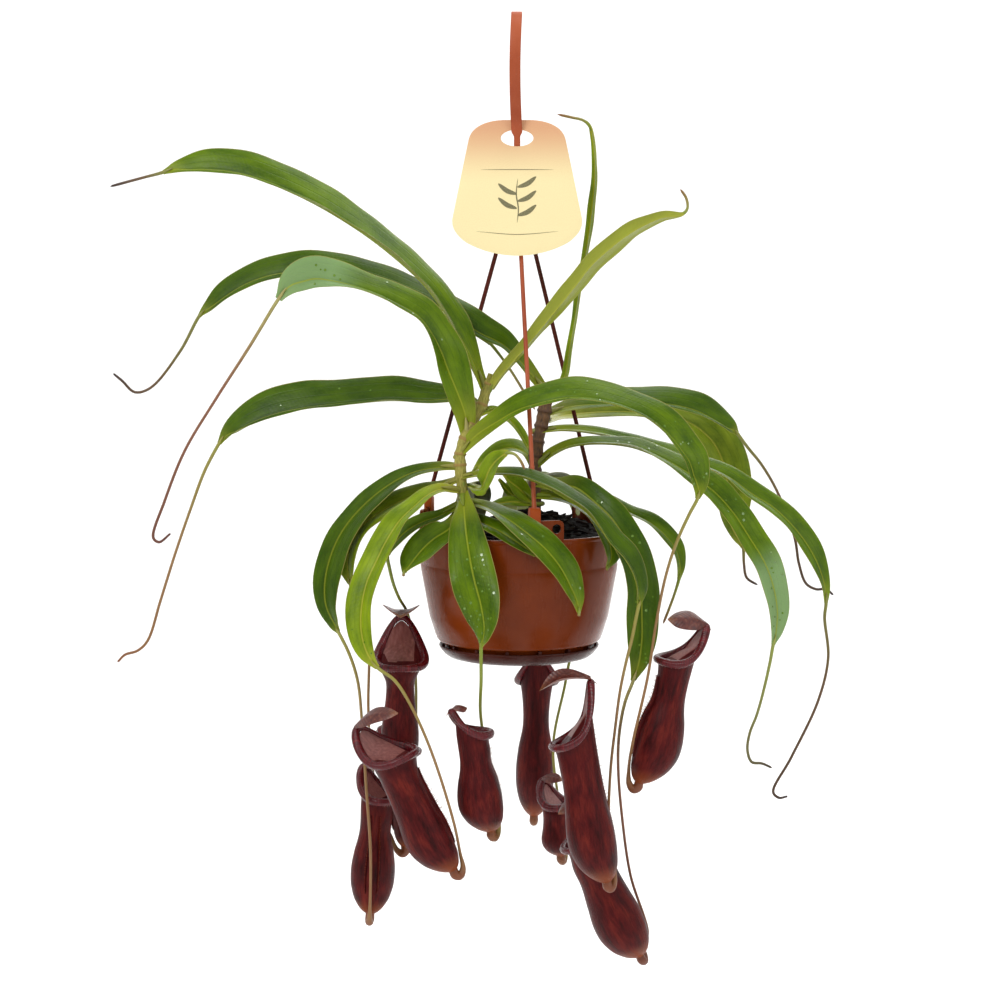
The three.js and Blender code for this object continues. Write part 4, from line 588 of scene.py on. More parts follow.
def add_drops(skin, upper, count, seed):
    """Drops of water that stand on the blade's upper face."""
    chance = random.Random(seed * 31 + 5)
    low, high = (int(len(upper) * share) for share in DROPS["rows"])
    turn = around(DROPS["sides"])[:, None]
    for _ in range(count):
        row = chance.randint(low, high)
        column = chance.choice(DROPS["columns"])
        radius = chance.uniform(*DROPS["radius"])
        side = unit(upper[row, column + 1] - upper[row, column - 1])
        normal = unit(np.cross(side, upper[row + 1, column] - upper[row - 1, column]))
        outward = DROPS["wide"] * (np.cos(turn) * side + np.sin(turn) * np.cross(normal, side))
        rings = [upper[row, column] + radius * (math.cos(lift) * outward
                                                + DROPS["high"] * math.sin(lift) * normal)
                 for lift in DROPS["rings"]]
        skin.loft(rings, LEAF_SLOTS["water"])


# ---------- pitchers ----------

JUG = dict(sides=120, rows=46, inner_rows=24, wall=1.2, foot_shift=0.45, foot_radius=1.4,
           shift_end=0.34, lip_tilt=0.42, saddle=1.5, neck_from=0.55, neck_power=5, floor=0.14,
           lip_outside=3.0, lip_inside=2.6, tip_rows=[0, 0.012], first_row=0.03, least_radius=0.3)
# A jug's profile: shares of its length, and its radius there as a share of one in PITCHERS.
JUG_PROFILE = [(0.03, 0.36, "bulge"), (0.09, 0.66, "bulge"), (0.2, 0.92, "bulge"),
               (0.34, 1, "bulge"), (0.5, 0.9, "bulge"), (0.66, 1, "waist"), (0.82, 1.02, "waist"),
               (0.95, 0.93, "rim"), (1, 1, "rim")]
# The rolled lip's section, out and up from the rim's edge, from the outer wall to the inner one.
LIP = [[0.1, -3.1], [1.3, -3.0], [2.5, -2.4], [3.2, -1.3], [3.3, 0.0], [2.7, 1.1], [1.6, 1.8],
       [0.3, 1.9], [-0.9, 1.3], [-1.7, 0.2], [-2.0, -1.1], [-1.8, -2.2], [-1.3, -2.9]]
LIP_BROADER = 0.28  # how much broader the lip is at its sides than at its front and neck
# Shares of the rim's radius: how long and how wide the lid is. curl lifts its edges and lift its
# tip, in shares of the half width and of the length. roll turns its face to the front, in degrees.
PLAIN_LID = dict(length=1.7, half=0.45, curl=-0.2, lift=0.0, roll=25, thick=0.4)
LIDS = dict(
    a=dict(length=1.2, half=0.8, curl=0.42, lift=0.0, roll=0, thick=1.5),
    b=dict(length=2.5, half=0.42, curl=-0.15, lift=-0.02, roll=34, thick=0.4),
    e=dict(length=0.9, half=0.4, curl=-0.3, lift=-0.1, roll=20, thick=0.5),
    g=dict(length=2.0, half=0.5, curl=-0.1, lift=0.0, roll=38, thick=0.4),
    h=dict(length=2.3, half=0.5, curl=0.5, lift=-0.05, roll=16, thick=0.4),
    j=dict(length=2.1, half=0.6, curl=-0.3, lift=-0.08, roll=42, thick=0.5),
)
# The lid's half width along it, as shares.
LID_WIDTHS = ([0, 0.12, 0.35, 0.6, 0.85, 1], [0.26, 0.5, 0.94, 1, 0.62, 0.06])
LID = dict(rows=26, columns=15, raised=1.4, arch=0.12, ruffle=0.35, ruffles=9, keel=0.5,
           keel_reach=0.14, behind=0.04)
# The spur behind a lid: out over the mouth, up the jug's axis, and radii.
SPUR = dict(out=[1.0, -1.2, -3.0, -5.2], up=[-0.5, 0.2, -0.6, -2.6], radii=[0.7, 0.6, 0.4, 0.1])
WING = dict(angle=16, height=1.7, sunk=-0.4, root=0.5, crest=0.16, start=0.2, end=0.86, rows=40,
            fade=(0.12, 2.9))
# Hairs on a wing's edge, with the ranges that chance draws from, and their lean up and aside.
HAIRS = dict(count=38, spot=(0.2, 0.8), up=(-0.1, 0.5), aside=(-0.25, 0.25), length=(1.6, 3.2),
             along=np.array([0, 0.45, 1]), sunk=0.3, droop=0.25, radii=[0.24, 0.17, 0.04], sides=4)
# Hairs below the lip. out holds where a hair starts and where it points.
FRINGE = dict(count=46, spot=(0.2, 0.8), out=[2.4, 4], up=-2.2, length=(0.5, 1.3),
              radii=[0.13, 0.1, 0.03], sides=4)
JUG_SLOTS = dict(skin=0, lip=1, inside=2, lid=3, hairs=4)


def heading(degrees):
    return np.array([math.cos(math.radians(degrees)), math.sin(math.radians(degrees)), 0.0])


class Jug:
    """The axes of a pitcher and the surface of its jug."""

    def __init__(self, pitcher):
        self.pitcher = pitcher
        self.base, mouth = place([pitcher["base"], pitcher["mouth"]])
        self.length = np.linalg.norm(mouth - self.base)
        self.up = unit(mouth - self.base)
        self.front = square_to(heading(pitcher["tendril"]), self.up)
        self.side = np.cross(self.up, self.front)
        self.lip = square_to(heading(pitcher["lip"]), self.up)
        self.lip_angle = math.atan2(self.lip @ self.side, self.lip @ self.front)
        self.angles = self.lip_angle + around(JUG["sides"])
        self.foot = self.base + self.front * pitcher["bulge"] * JUG["foot_shift"]

    def radius(self, share):
        spots = [0] + [spot for spot, _, _ in JUG_PROFILE]
        radii = [JUG["foot_radius"]] + [self.pitcher[key] * part for _, part, key in JUG_PROFILE]
        return profile(share, spots, radii)

    def lift(self, turn):
        """How far the rim stands above the middle of the mouth, from its lowest part round."""
        slope = -JUG["lip_tilt"] * self.pitcher["rim"] * np.cos(turn)
        neck = self.pitcher["neck"] * ((1 - np.cos(turn)) / 2) ** JUG["neck_power"]
        return slope + neck + JUG["saddle"] * np.cos(2 * turn)

    def point(self, share, angle, out=0, rise=0):
        """Points at shares of the length and angles from the front, moved out and up."""
        share, angle = np.broadcast_arrays(np.asarray(share, float), angle)
        bend = 1 - np.minimum(share / JUG["shift_end"], 1)
        shift = self.pitcher["bulge"] * JUG["foot_shift"] * bend**2
        radius = np.maximum(self.radius(share) + out, JUG["least_radius"])
        lift = step(share, JUG["neck_from"], 1) * self.lift(angle - self.lip_angle)
        high = share * self.length + rise + lift
        spot = self.base + high[..., None] * self.up
        spot = spot + (shift + radius * np.cos(angle))[..., None] * self.front
        return spot + (radius * np.sin(angle))[..., None] * self.side

    def patterns(self, shares, seed):
        """Pattern coordinates: a cylinder's, in millimetres, then [share, turn, seed]."""
        radius = self.pitcher["bulge"]
        first = stacked(radius * np.cos(self.angles), radius * np.sin(self.angles),
                        shares[:, None] * self.length)
        return first, stacked(shares[:, None], np.cos(self.angles - self.lip_angle), seed)

    def loft(self, skin, shares, slot, out, seed):
        """One wall of the jug."""
        rings = self.point(shares[:, None], self.angles, out)
        skin.loft(rings, slot, *self.patterns(shares, seed))


def add_jug(skin, jug, seed):
    """The outer wall, the inner one down to its floor, and the lip that joins them."""
    end = 1 - JUG["lip_outside"] / jug.length
    outer = np.append(JUG["tip_rows"], np.linspace(JUG["first_row"], end, JUG["rows"]))
    jug.loft(skin, outer, JUG_SLOTS["skin"], 0, seed)
    start = 1 - JUG["lip_inside"] / jug.length
    inner = np.linspace(start, JUG["floor"], JUG["inner_rows"])
    jug.loft(skin, inner, JUG_SLOTS["inside"], -JUG["wall"], seed)
    broad = 1 + LIP_BROADER * np.sin(around(JUG["sides"])) ** 2
    rings = [jug.point(1, jug.angles, out * broad, rise * broad) for out, rise in LIP]
    first, second = jug.patterns(np.ones(len(LIP)), seed)
    second[..., 0] = np.linspace(0, 1, len(LIP))[:, None]
    skin.loft(rings, JUG_SLOTS["lip"], first, second, capped=False)


def add_lid(skin, jug, lid, seed):
    """A leaf-shaped lid from the top of the neck out over the mouth, with a spur behind it."""
    roll = math.radians(lid["roll"]) * math.copysign(1, jug.lip[0])
    level = np.cross(jug.up, jug.lip)
    across = level * math.cos(roll) + jug.up * math.sin(roll)
    over = jug.up * math.cos(roll) - level * math.sin(roll)
    rim = jug.pitcher["rim"]
    hinge = jug.base + jug.up * (jug.length + jug.lift(np.pi)) - jug.lip * rim
    reach = rim * lid["length"]
    s = np.linspace(0, 1, LID["rows"])[:, None]
    u = np.linspace(-1, 1, LID["columns"])[None]
    half = rim * lid["half"] * profile(s, *LID_WIDTHS)
    high = LID["raised"] + reach * (LID["arch"] * np.sin(np.pi * s) + lid["lift"] * s**2)
    high = high + (half * lid["curl"] + LID["ruffle"] * np.sin(LID["ruffles"] * s + seed)) * u**2
    keel = LID["keel"] * np.exp(-((u / LID["keel_reach"]) ** 2)) * (1 - s)
    far = reach * (s - LID["behind"])
    spot = hinge + jug.lip * far[..., None] + across * (half * u)[..., None]
    thick = lid["thick"] * (1.2 - u**2) * (1 - 0.6 * s**4)
    upper = spot + over * (high + thick + keel)[..., None]
    lower = spot + over * (high - thick)[..., None]
    first = stacked(wrapped(half * u, half * u), far, np.repeat([0, 1], u.size))
    second = stacked(s, np.zeros(2 * u.size), seed)
    skin.loft(wrapped(upper, lower), JUG_SLOTS["lid"], first, second)
    route = hinge + np.outer(SPUR["out"], jug.lip) + np.outer(SPUR["up"], jug.up)
    skin.tube(route, SPUR["radii"], JUG_SLOTS["skin"], 8)


def add_wing(skin, jug, side, seed):
    """One thin wing down the side that faces the tendril, edged with tapering hairs."""
    angle = math.radians(WING["angle"]) * side
    shares = np.linspace(WING["start"], WING["end"], WING["rows"])
    fade = np.sqrt(np.sin(np.linspace(*WING["fade"], WING["rows"])))
    root = jug.point(shares, angle, WING["sunk"])
    crest = jug.point(shares, angle, WING["height"] * fade)
    out = unit(crest - root)
    flat = unit(np.cross(jug.up, out))
    rings = np.stack([root + flat * WING["root"], crest + flat * WING["crest"],
                      crest - flat * WING["crest"], root - flat * WING["root"]], 1)
    first = stacked(0, np.zeros(4), (shares * jug.length)[:, None])
    second = stacked(shares[:, None], np.zeros(4), seed)
    skin.loft(rings, JUG_SLOTS["skin"], first, second)
    chance = random.Random(seed * 7 + side)
    for k in range(HAIRS["count"]):
        spot = (k + chance.uniform(*HAIRS["spot"])) / HAIRS["count"] * (WING["rows"] - 1)
        low = int(spot)
        start = crest[low] + (crest[low + 1] - crest[low]) * (spot - low)
        lean = out[low] + jug.up * chance.uniform(*HAIRS["up"])
        lean = unit(lean + flat[low] * chance.uniform(*HAIRS["aside"]))
        length = chance.uniform(*HAIRS["length"]) * fade[low]
        curve = start + np.outer(HAIRS["along"] * length, lean)
        curve[0] -= lean * HAIRS["sunk"]
        curve[2] += jug.up * HAIRS["droop"] * length
        skin.tube(curve, HAIRS["radii"], JUG_SLOTS["skin"], HAIRS["sides"])


def add_fringe(skin, jug, seed):
    """Short pale hairs that hang below the lip."""
    chance = random.Random(seed * 13 + 2)
    for k in range(FRINGE["count"]):
        turn = 2 * np.pi * (k + chance.uniform(*FRINGE["spot"])) / FRINGE["count"]
        angle = jug.lip_angle + turn
        start, beyond = jug.point(1, angle, np.array(FRINGE["out"]), FRINGE["up"])
        length = chance.uniform(*FRINGE["length"])
        curve = start + np.outer([0, 0.5, 1], unit(beyond - start) * 0.5 - jug.up) * length
        skin.tube(curve, FRINGE["radii"], JUG_SLOTS["hairs"], FRINGE["sides"])


def make_pitchers():
    finishes = [jug_finish(), lip_finish(), inside_finish(), lid_finish(), hair_finish()]
    for seed, (letter, pitcher) in enumerate(PITCHERS.items(), 1):
        skin, jug = Skin(), Jug(pitcher)
        add_jug(skin, jug, seed)
        add_lid(skin, jug, LIDS.get(letter, PLAIN_LID), seed)
        add_wing(skin, jug, 1, seed)
        add_wing(skin, jug, -1, seed)
        add_fringe(skin, jug, seed)
        name = f"pitcher_{letter}"
        skin.piece(f"{name}_jug", finishes, name, "pitcher")


# ---------- stems ----------

# Where leaves leave the stems, as shares of their routes: each stands out as a ring.
NODES = dict(left=[0.27, 0.36, 0.47, 0.6, 0.75, 0.92], right=[0.3, 0.4, 0.52, 0.64, 0.77, 0.9])
STEM = dict(rows=150, sides=28, ring=0.7, ring_reach=0.012, ripple=0.15, ripples=90)


def make_stem(side, material):
    route, given = place(STEMS[side]["route"]), STEMS[side]["radii"]
    share = np.linspace(0, 1, STEM["rows"])
    centres = spline(route, share * (len(route) - 1))[0]
    ring = sum(np.exp(-(((share - node) / STEM["ring_reach"]) ** 2)) for node in NODES[side])
    radii = profile(share, np.linspace(0, 1, len(given)), given)
    radii = radii + STEM["ring"] * ring + STEM["ripple"] * np.sin(share * STEM["ripples"])
    skin = Skin()
    skin.tube(centres, radii, 0, STEM["sides"], stacked(ring, share, 0))
    skin.piece(f"stem_{side}_bark", [material], f"stem_{side}", f"stem_{side}")


# ---------- pot, saucer and potting mix ----------

# Profiles of [radius, height], from the middle of the floor's inside over the rim and down.
POT_PROFILE = [
    [0.01, -82], [44, -82], [49.5, -80.4], [54.2, -75.5], [61, -58], [66.4, -24], [67.7, -4],
    [68.1, -1], [68.7, -0.2], [69.5, 0], [70.3, -0.3], [70.6, -1.1], [70.5, -2.4], [70, -3],
    [69.9, -4], [69.25, -21.5], [68.9, -22.2], [68.95, -23], [69.05, -24], [68.7, -27],
    [62.7, -60], [58.4, -73.6], [57.9, -74.2], [57.6, -75.6], [56.6, -77], [55.6, -77.8],
    [52.2, -77.9], [51.6, -78.6], [51.2, -80.5], [50, -82.8], [47.5, -84], [0.01, -84],
]
SAUCER_PROFILE = [
    [0.01, -87.5], [43, -87.5], [46.5, -86.9], [50.6, -84.9], [53.8, -81.6], [54.5, -80.6],
    [55.2, -80.4], [55.9, -80.6], [56.1, -81.2], [55.6, -82.4], [52.6, -86.2], [49.6, -88.4],
    [45.6, -89.4], [44, -89.5], [42.6, -88.9], [0.01, -88.9],
]
ROUND = 160  # sides of the pot and the saucer
DRAIN_COLLAR = [[-0.4, -84.1], [0.5, -84.5], [1.2, -84.1]]  # [out from the hole, height]
PEG = np.array([[-1.1, -0.9], [1.1, -0.9], [1.1, 0.9], [-1.1, 0.9]])
PEG_RINGS = ((-84.0, 1), (-79.6, 1), (-78.5, 0.9), (-78.2, 0.6))  # height and growth
CHIP_RINGS = ((-1, 0.86), (-0.5, 1), (0.5, 1), (1, 0.82))  # shares of its thickness, and growth
# A flake of bark: the ranges that chance draws its half sizes, lean and corners from.
CHIP = dict(sizes=((2, 5.5), (1.2, 3), (0.5, 1.1)), lean=(-0.45, 0.45), corner=(0.75, 1.1), sides=7,
            raised=0.5)
PLATE_INSET = 0.18  # how far a plate's faces are drawn in at its edges


def turned(skin, outline, sides=ROUND, middle=(0, 0, 0)):
    """A profile of [radius, height] turned round the upright through the middle."""
    radii, heights = np.array(outline, float).T[:, :, None]
    rings = stacked(radii * np.cos(around(sides)), radii * np.sin(around(sides)), heights)
    skin.loft(rings + middle)


def on_rim(points, azimuth):
    """Points at the front of the rim carried round it by an azimuth in degrees."""
    angle = math.radians(azimuth)
    x, y, z = np.moveaxis(np.asarray(points, float), -1, 0)
    return stacked(x * math.cos(angle) - y * math.sin(angle),
                   x * math.sin(angle) + y * math.cos(angle), z)


def plate(skin, outline, hole, placed, thickness, shares=(0, 0.04, 0.5, 0.96, 1)):
    """A plate with a hole, as rings from the hole's edge to the outline and back behind.

    outline and hole are arrays of [across, up]; placed turns [across, up, out] to a point.
    """
    flat = []
    for side, order in ((0.5, shares), (-0.5, shares[::-1])):
        for share in order:
            inset = PLATE_INSET if share in (0, 1) else 0
            ring = hole + (outline - hole) * share
            flat.append(stacked(ring[:, 0], ring[:, 1], side * (thickness - 2 * inset)))
    flat = np.array(flat + flat[:1])
    skin.loft(placed(flat), 0, flat, capped=False)


def rays(outline, centre, count):
    """Points of an outline in evenly spaced directions from a point inside it."""
    closed = np.vstack([outline, outline[:1]]) - centre
    a, run = closed[:-1], np.diff(closed, axis=0)
    spots = []
    for angle in around(count):
        aim = np.array([math.cos(angle), math.sin(angle)])
        cross = aim[0] * run[:, 1] - aim[1] * run[:, 0]
        cross = np.where(np.abs(cross) < 1e-9, 1e-9, cross)
        far = (a[:, 0] * run[:, 1] - a[:, 1] * run[:, 0]) / cross
        at = (a[:, 0] * aim[1] - a[:, 1] * aim[0]) / cross
        hits = far[(at >= -1e-6) & (at <= 1 + 1e-6) & (far > 0)]
        spots.append(centre + aim * hits.max())
    return np.array(spots)


def rounded(corners, radius, turns):
    """An outline with an arc at each [x, y, start in degrees], turned by each of turns."""
    return np.array([[x + radius * math.cos(math.radians(start + turn)),
                      y + radius * math.sin(math.radians(start + turn))]
                     for x, y, start in corners for turn in turns])


def add_ear(skin, azimuth):
    """An upright plate on the pot's rim, with rounded upper corners and a hole."""
    half, corner = EAR["width"] / 2, EAR["corner"]
    shoulder = EAR["height"] - corner
    arcs = rounded([[half - corner, shoulder, 0], [corner - half, shoulder, 90]], corner,
                   np.linspace(0, 90, 6))
    outline = np.vstack([[-half, EAR["foot"]], [half, EAR["foot"]], arcs])
    centre = np.array([EAR["hole_across"], EAR["hole_up"]])
    turn = around(EAR["sides"])
    hole = centre + EAR["hole"] * stacked(np.cos(turn), np.sin(turn))

    def placed(flat):
        spot = stacked(flat[..., 0], -EAR["radius"] - flat[..., 2], flat[..., 1])
        return on_rim(spot, azimuth)

    plate(skin, rays(outline, centre, len(turn)), hole, placed, EAR["thickness"])


def ear_azimuths():
    return [EAR["azimuth"] + 120 * k for k in range(3)]


def make_pot(material):
    """The pot with its ears and the collars of its drain holes."""
    skin = Skin()
    turned(skin, POT_PROFILE)
    for azimuth in ear_azimuths():
        add_ear(skin, azimuth)
    turn = around(POT["drain_sides"])
    for angle in around(POT["drain_holes"]):
        centre = POT["drain_ring"] * np.array([math.cos(angle), math.sin(angle), 0])
        rings = []
        for out, height in DRAIN_COLLAR:
            radius = POT["drain_radius"] + out
            rings.append(centre + stacked(radius * np.cos(turn), radius * np.sin(turn), height))
        skin.loft(rings)
    skin.piece("pot_shell", [material], "pot", "pot_plastic")


def make_saucer(material):
    """The dish with its ring of pegs."""
    skin = Skin()
    turned(skin, SAUCER_PROFILE)
    for k in range(SAUCER["pegs"]):
        azimuth = SAUCER["first_peg"] + 360 / SAUCER["pegs"] * k
        skin.loft([on_rim(stacked(*(PEG * grow - [0, SAUCER["peg_ring"]]).T, height), azimuth)
                   for height, grow in PEG_RINGS])
    skin.piece("saucer_dish", [material], "saucer", "pot_plastic")


def soil_height(x, y):
    """The potting mix: a heap round the stems, lumps and crumbs, level at the pot's wall."""
    from_heap = (x - SOIL["heap_x"]) ** 2 + (y - SOIL["heap_y"]) ** 2
    heap = SOIL["heap"] * np.exp(-from_heap / (2 * SOIL["heap_radius"] ** 2))
    lumps = (1.1 * np.sin(x * 0.41 + 1.3) * np.sin(y * 0.37 + 0.6)
             + 0.8 * np.sin(x * 0.83 + y * 0.71))
    crumbs = (0.7 * np.sin(x * 1.9 + 2 * np.sin(y * 0.9)) * np.sin(y * 2.1 + np.sin(x * 1.3))
              + 0.35 * np.sin(x * 4.3 + y * 1.7) * np.sin(y * 4.9 - x * 1.1))
    inside = 1 - np.hypot(x, y) / SOIL["radius"]
    return SOIL["edge"] + heap + (lumps + SOIL["dome"]) * inside + crumbs * step(inside, 0, 0.1)


def make_soil(material, bark):
    skin = Skin()
    radii = np.linspace(0.5, SOIL["radius"], SOIL["rows"])[:, None]
    angles = around(SOIL["sides"])
    x, y = radii * np.cos(angles), radii * np.sin(angles)
    skirt = stacked(x[-1:], y[-1:], SOIL["edge"] - SOIL["skirt"])
    skin.loft(np.concatenate([stacked(x, y, soil_height(x, y)), skirt]))
    chance = random.Random(SOIL["seed"])
    for _ in range(SOIL["chips"]):
        add_chip(skin, chance)
    skin.piece("potting_mix_bark", [material, bark], "potting_mix", "potting_mix")


def add_chip(skin, chance):
    """One flake of bark lying on the mix."""
    radius = SOIL["chip_ring"] * math.sqrt(chance.random())
    angle = chance.uniform(0, 2 * math.pi)
    x, y = radius * math.cos(angle), radius * math.sin(angle)
    centre = np.array([x, y, soil_height(x, y) + CHIP["raised"]])
    size = [chance.uniform(*bounds) for bounds in CHIP["sizes"]]
    normal = unit(np.array([chance.uniform(*CHIP["lean"]), chance.uniform(*CHIP["lean"]), 1]))
    side = square_to(np.array([math.cos(angle * 5), math.sin(angle * 5), 0.1]), normal)
    frame = np.array([size[0] * side, size[1] * np.cross(normal, side)])
    corners = np.array([[math.cos(t) * chance.uniform(*CHIP["corner"]),
                         math.sin(t) * chance.uniform(*CHIP["corner"])]
                        for t in around(CHIP["sides"])])
    skin.loft([centre + corners * grow @ frame + normal * size[2] * lift
               for lift, grow in CHIP_RINGS], 1)


# ---------- hanger and tag ----------

# The strap's middle line across the view: [depth, height] above the rim.
CROWN = HANGING_DROP + STRAP["thickness"] / 2
STRAP_ROUTE = [
    [0.8, 240], [0.4, 256], [-1.2, 265.4], [-1.9, 273], [-2.6, 280], [-5.6, 289], [-11.5, 305],
    [-14.8, 320], [-14.4, 333], [-11, 345.4], [-7.2, 351.8], [-3.6, CROWN], [3.6, CROWN],
    [7.6, 351.8], [11, 345], [13, 339], [13.4, 333],
]
# The hub's outline: [in from its radius, up from its bottom or down from its top].
HUB_TOP = [[1.6, 0], [0.6, 0.3], [0, 1.1]]
HUB_BOTTOM = [[0, 0.8], [0.5, 0.1], [1.2, 0]]


def strap_section(width):
    """The strap's section with rounded edges, as [across, out] points."""
    half, high = width / 2 - STRAP["corner"], STRAP["thickness"] / 2 - STRAP["corner"]
    corners = [[half, high, 0], [-half, high, 90], [-half, -high, 180], [half, -high, 270]]
    return rounded(corners, STRAP["corner"], (0, 30, 60, 90))


def make_hook(material):
    """The strap, narrow below its shoulder and bent to a hook above, and the hub at its foot."""
    skin = Skin()
    route = np.array([[HUB["x"], depth, height] for depth, height in STRAP_ROUTE])
    low, high = STRAP["shoulder"]
    share = np.clip((route[:, 2] - low) / STRAP["bow_length"], 0, 1)
    route[:, 0] -= STRAP["bow"] * np.sin(np.pi * share)
    spots = np.linspace(0, len(route) - 1, STRAP["rows"])
    centres, tangents = spline(route, spots)
    across = np.array([1.0, 0, 0])
    out = unit(np.cross(tangents, across))
    widen = np.where(spots > STRAP["full_from"], 1, step(centres[:, 2], low, high))
    widths = STRAP["neck_width"] + (STRAP["width"] - STRAP["neck_width"]) * widen
    skin.loft([centre + strap_section(width) @ [across, normal]
               for centre, normal, width in zip(centres, out, widths)])
    bottom, top, radius = HUB["bottom"], HUB["top"], HUB["radius"]
    upper = [[radius - inward, top - down] for inward, down in HUB_TOP]
    lower = [[radius - inward, bottom + up] for inward, up in HUB_BOTTOM]
    outline = [[0.01, top], *upper, *lower, [0.01, bottom]]
    turned(skin, outline, HUB["sides"], [HUB["x"], HUB["depth"], 0])
    skin.piece("hanger_hook_strap", [material], "hanger_hook", "hanger_plastic")


def make_strand(end, azimuth, materials):
    """One strand from the hub to its clip, a little thicker at both ends."""
    skin = Skin()
    bottom = on_rim([CLIP["across"], -EAR["radius"], CLIP["top"] - STRAND["in_clip"]], azimuth)
    outward = unit(bottom * [1, 1, 0]) * HUB["strand_ring"]
    top = np.array([HUB["x"], HUB["depth"], HUB["bottom"] - STRAND["below_hub"]]) + outward
    share = np.linspace(0, 1, STRAND["rows"])
    swell = 0.25 * step(share, 0.97, 1) + 0.2 * step(1 - share, 0.985, 1)
    centres = top + (bottom - top) * share[:, None]
    skin.tube(centres, STRAND["radius"] * (1 + swell), 0, STRAND["sides"])
    add_clip(skin, azimuth)
    skin.piece(f"strand_{end}_cord", materials, f"strand_{end}", "hanger_plastic")


def add_clip(skin, azimuth):
    """The block at a strand's foot, slotted from below so that it straddles the pot's ear."""
    deep, slot, foot, top = CLIP["depth"] / 2, CLIP["slot"] / 2, CLIP["bottom"], CLIP["top"]
    right = [[slot, CLIP["slot_top"]], [slot, foot + 0.3], [slot + 0.2, foot], [deep - 0.4, foot],
             [deep, foot + 0.5], [deep, top - 2.2], [deep - 0.8, top - 0.5], [deep - 1.6, top]]
    outline = np.vstack([right, (np.array(right) * [-1, 1])[::-1]])
    middle = np.array([0, CLIP["middle"]])
    half = CLIP["width"] / 2
    rings = []
    for across, grow in ((-half, 0.94), (0.35 - half, 1), (half - 0.35, 1), (half, 0.94)):
        deep_up = middle + (outline - middle) * [1, grow]
        spot = stacked(CLIP["across"] + across, deep_up[:, 0] - EAR["radius"], deep_up[:, 1])
        rings.append(on_rim(spot, azimuth))
    skin.loft(rings, 1)


# The right half of the tag's outline down to the middle of its foot, as stretches of two control
# points and an end, across and up from the middle of its hole.
TAG_CORNER = [8, 13]
TAG_HALF = [
    [[20, 13], [31.5, 9], [33.5, -1]],
    [[37, -18], [40.4, -36], [43.8, -53]],
    [[46.5, -62], [43, -67], [36, -73]],
    [[24, -80.5], [10, -83], [0, -83]],
]
TAG_RINGS = (0, 0.02, 0.08, 0.2, 0.35, 0.5, 0.65, 0.8, 0.92, 0.985, 1)
# The card's bow: how far its sides and its middle stand out, over its half width and its height.
TAG_BOW = dict(sides=1.1, half=44, middle=0.7, top=13, height=96)
# The print: two rules and a stem as ([across, up] points, width), and where its leaves stand.
RULES = [([[-25, -22.5], [0, -22.5], [25, -22.5]], 0.5), ([[-28, -66], [0, -68.2], [28, -66]], 0.5)]
SPRIG_STEM = ([[0, -60], [0.8, -50], [-0.6, -40], [0.4, -29]], 0.9)
SPRIG_LEAF = dict(ups=(-55, -50, -45, -40, -35), route=[[0.2, 0], [7, 2.5], [13, 7.5]], width=3.4)
INK_PROUD = 0.06


def tag_outline():
    t = np.linspace(0, 1, 24)[:, None]
    start, half = np.array(TAG_CORNER, float), []
    for first, second, end in np.array(TAG_HALF, float):
        half.append(start * (1 - t) ** 3 + 3 * first * t * (1 - t) ** 2
                    + 3 * second * t**2 * (1 - t) + end * t**3)
        start = end
    half = np.vstack(half)
    return np.vstack([half, (half * [-1, 1])[::-1]])


def on_tag(flat):
    """Points of the slightly bowed card from [across, up, out]."""
    lean = math.radians(TAG["lean"])
    across, up, out = np.moveaxis(flat, -1, 0)
    out = out - TAG_BOW["sides"] * (across / TAG_BOW["half"]) ** 2
    out = out + TAG_BOW["middle"] * np.sin(np.pi * (TAG_BOW["top"] - up) / TAG_BOW["height"])
    depth = TAG["hole_depth"] + up * math.sin(lean) - out * math.cos(lean)
    height = TAG["hole_height"] + up * math.cos(lean) + out * math.sin(lean)
    return stacked(HUB["x"] + across, depth, height)


def make_tag(card, ink):
    """The card, and on it a generic leafy sprig between two rules."""
    skin, turn = Skin(), around(TAG["sides"])
    hole = TAG["hole"] * stacked(np.cos(turn), np.sin(turn))
    outline = rays(tag_outline(), np.zeros(2), len(turn))
    plate(skin, outline, hole, on_tag, TAG["thickness"], TAG_RINGS)
    skin.piece("tag_sheet", [card], "tag", "tag_card")
    printed = Skin()
    for route, width in [*RULES, SPRIG_STEM]:
        add_ink(printed, np.array(route), width)
    for k, up in enumerate(SPRIG_LEAF["ups"]):
        side = 1 if k % 2 == 0 else -1
        add_ink(printed, np.array(SPRIG_LEAF["route"]) * [side, 1] + [0, up], SPRIG_LEAF["width"])
    printed.piece("tag_print", [ink], None, "tag_card")


def add_ink(skin, route, width):
    """A printed line that swells in its middle, just proud of the card."""
    share = np.linspace(0, 1, 28)
    at, tangent = spline(stacked(*route.T, 0), share * (len(route) - 1))
    swell = width / 2 * np.sqrt(np.sin(np.pi * np.clip(share, 0.01, 0.99)))[:, None]
    off = swell * np.linspace(-1, 1, 5)
    flat = stacked(at[:, :1] - tangent[:, 1:2] * off, at[:, 1:2] + tangent[:, :1] * off,
                   TAG["thickness"] / 2 + INK_PROUD)
    skin.loft(on_tag(flat), 0, flat, capped=False, closed=False)


# ---------- materials ----------


def rgb(code):
    """A colour from its sRGB hex code."""
    parts = [int(code[i:i + 2], 16) / 255 for i in (0, 2, 4)]
    return (*[((c + 0.055) / 1.055) ** 2.4 if c > 0.04045 else c / 12.92 for c in parts], 1.0)


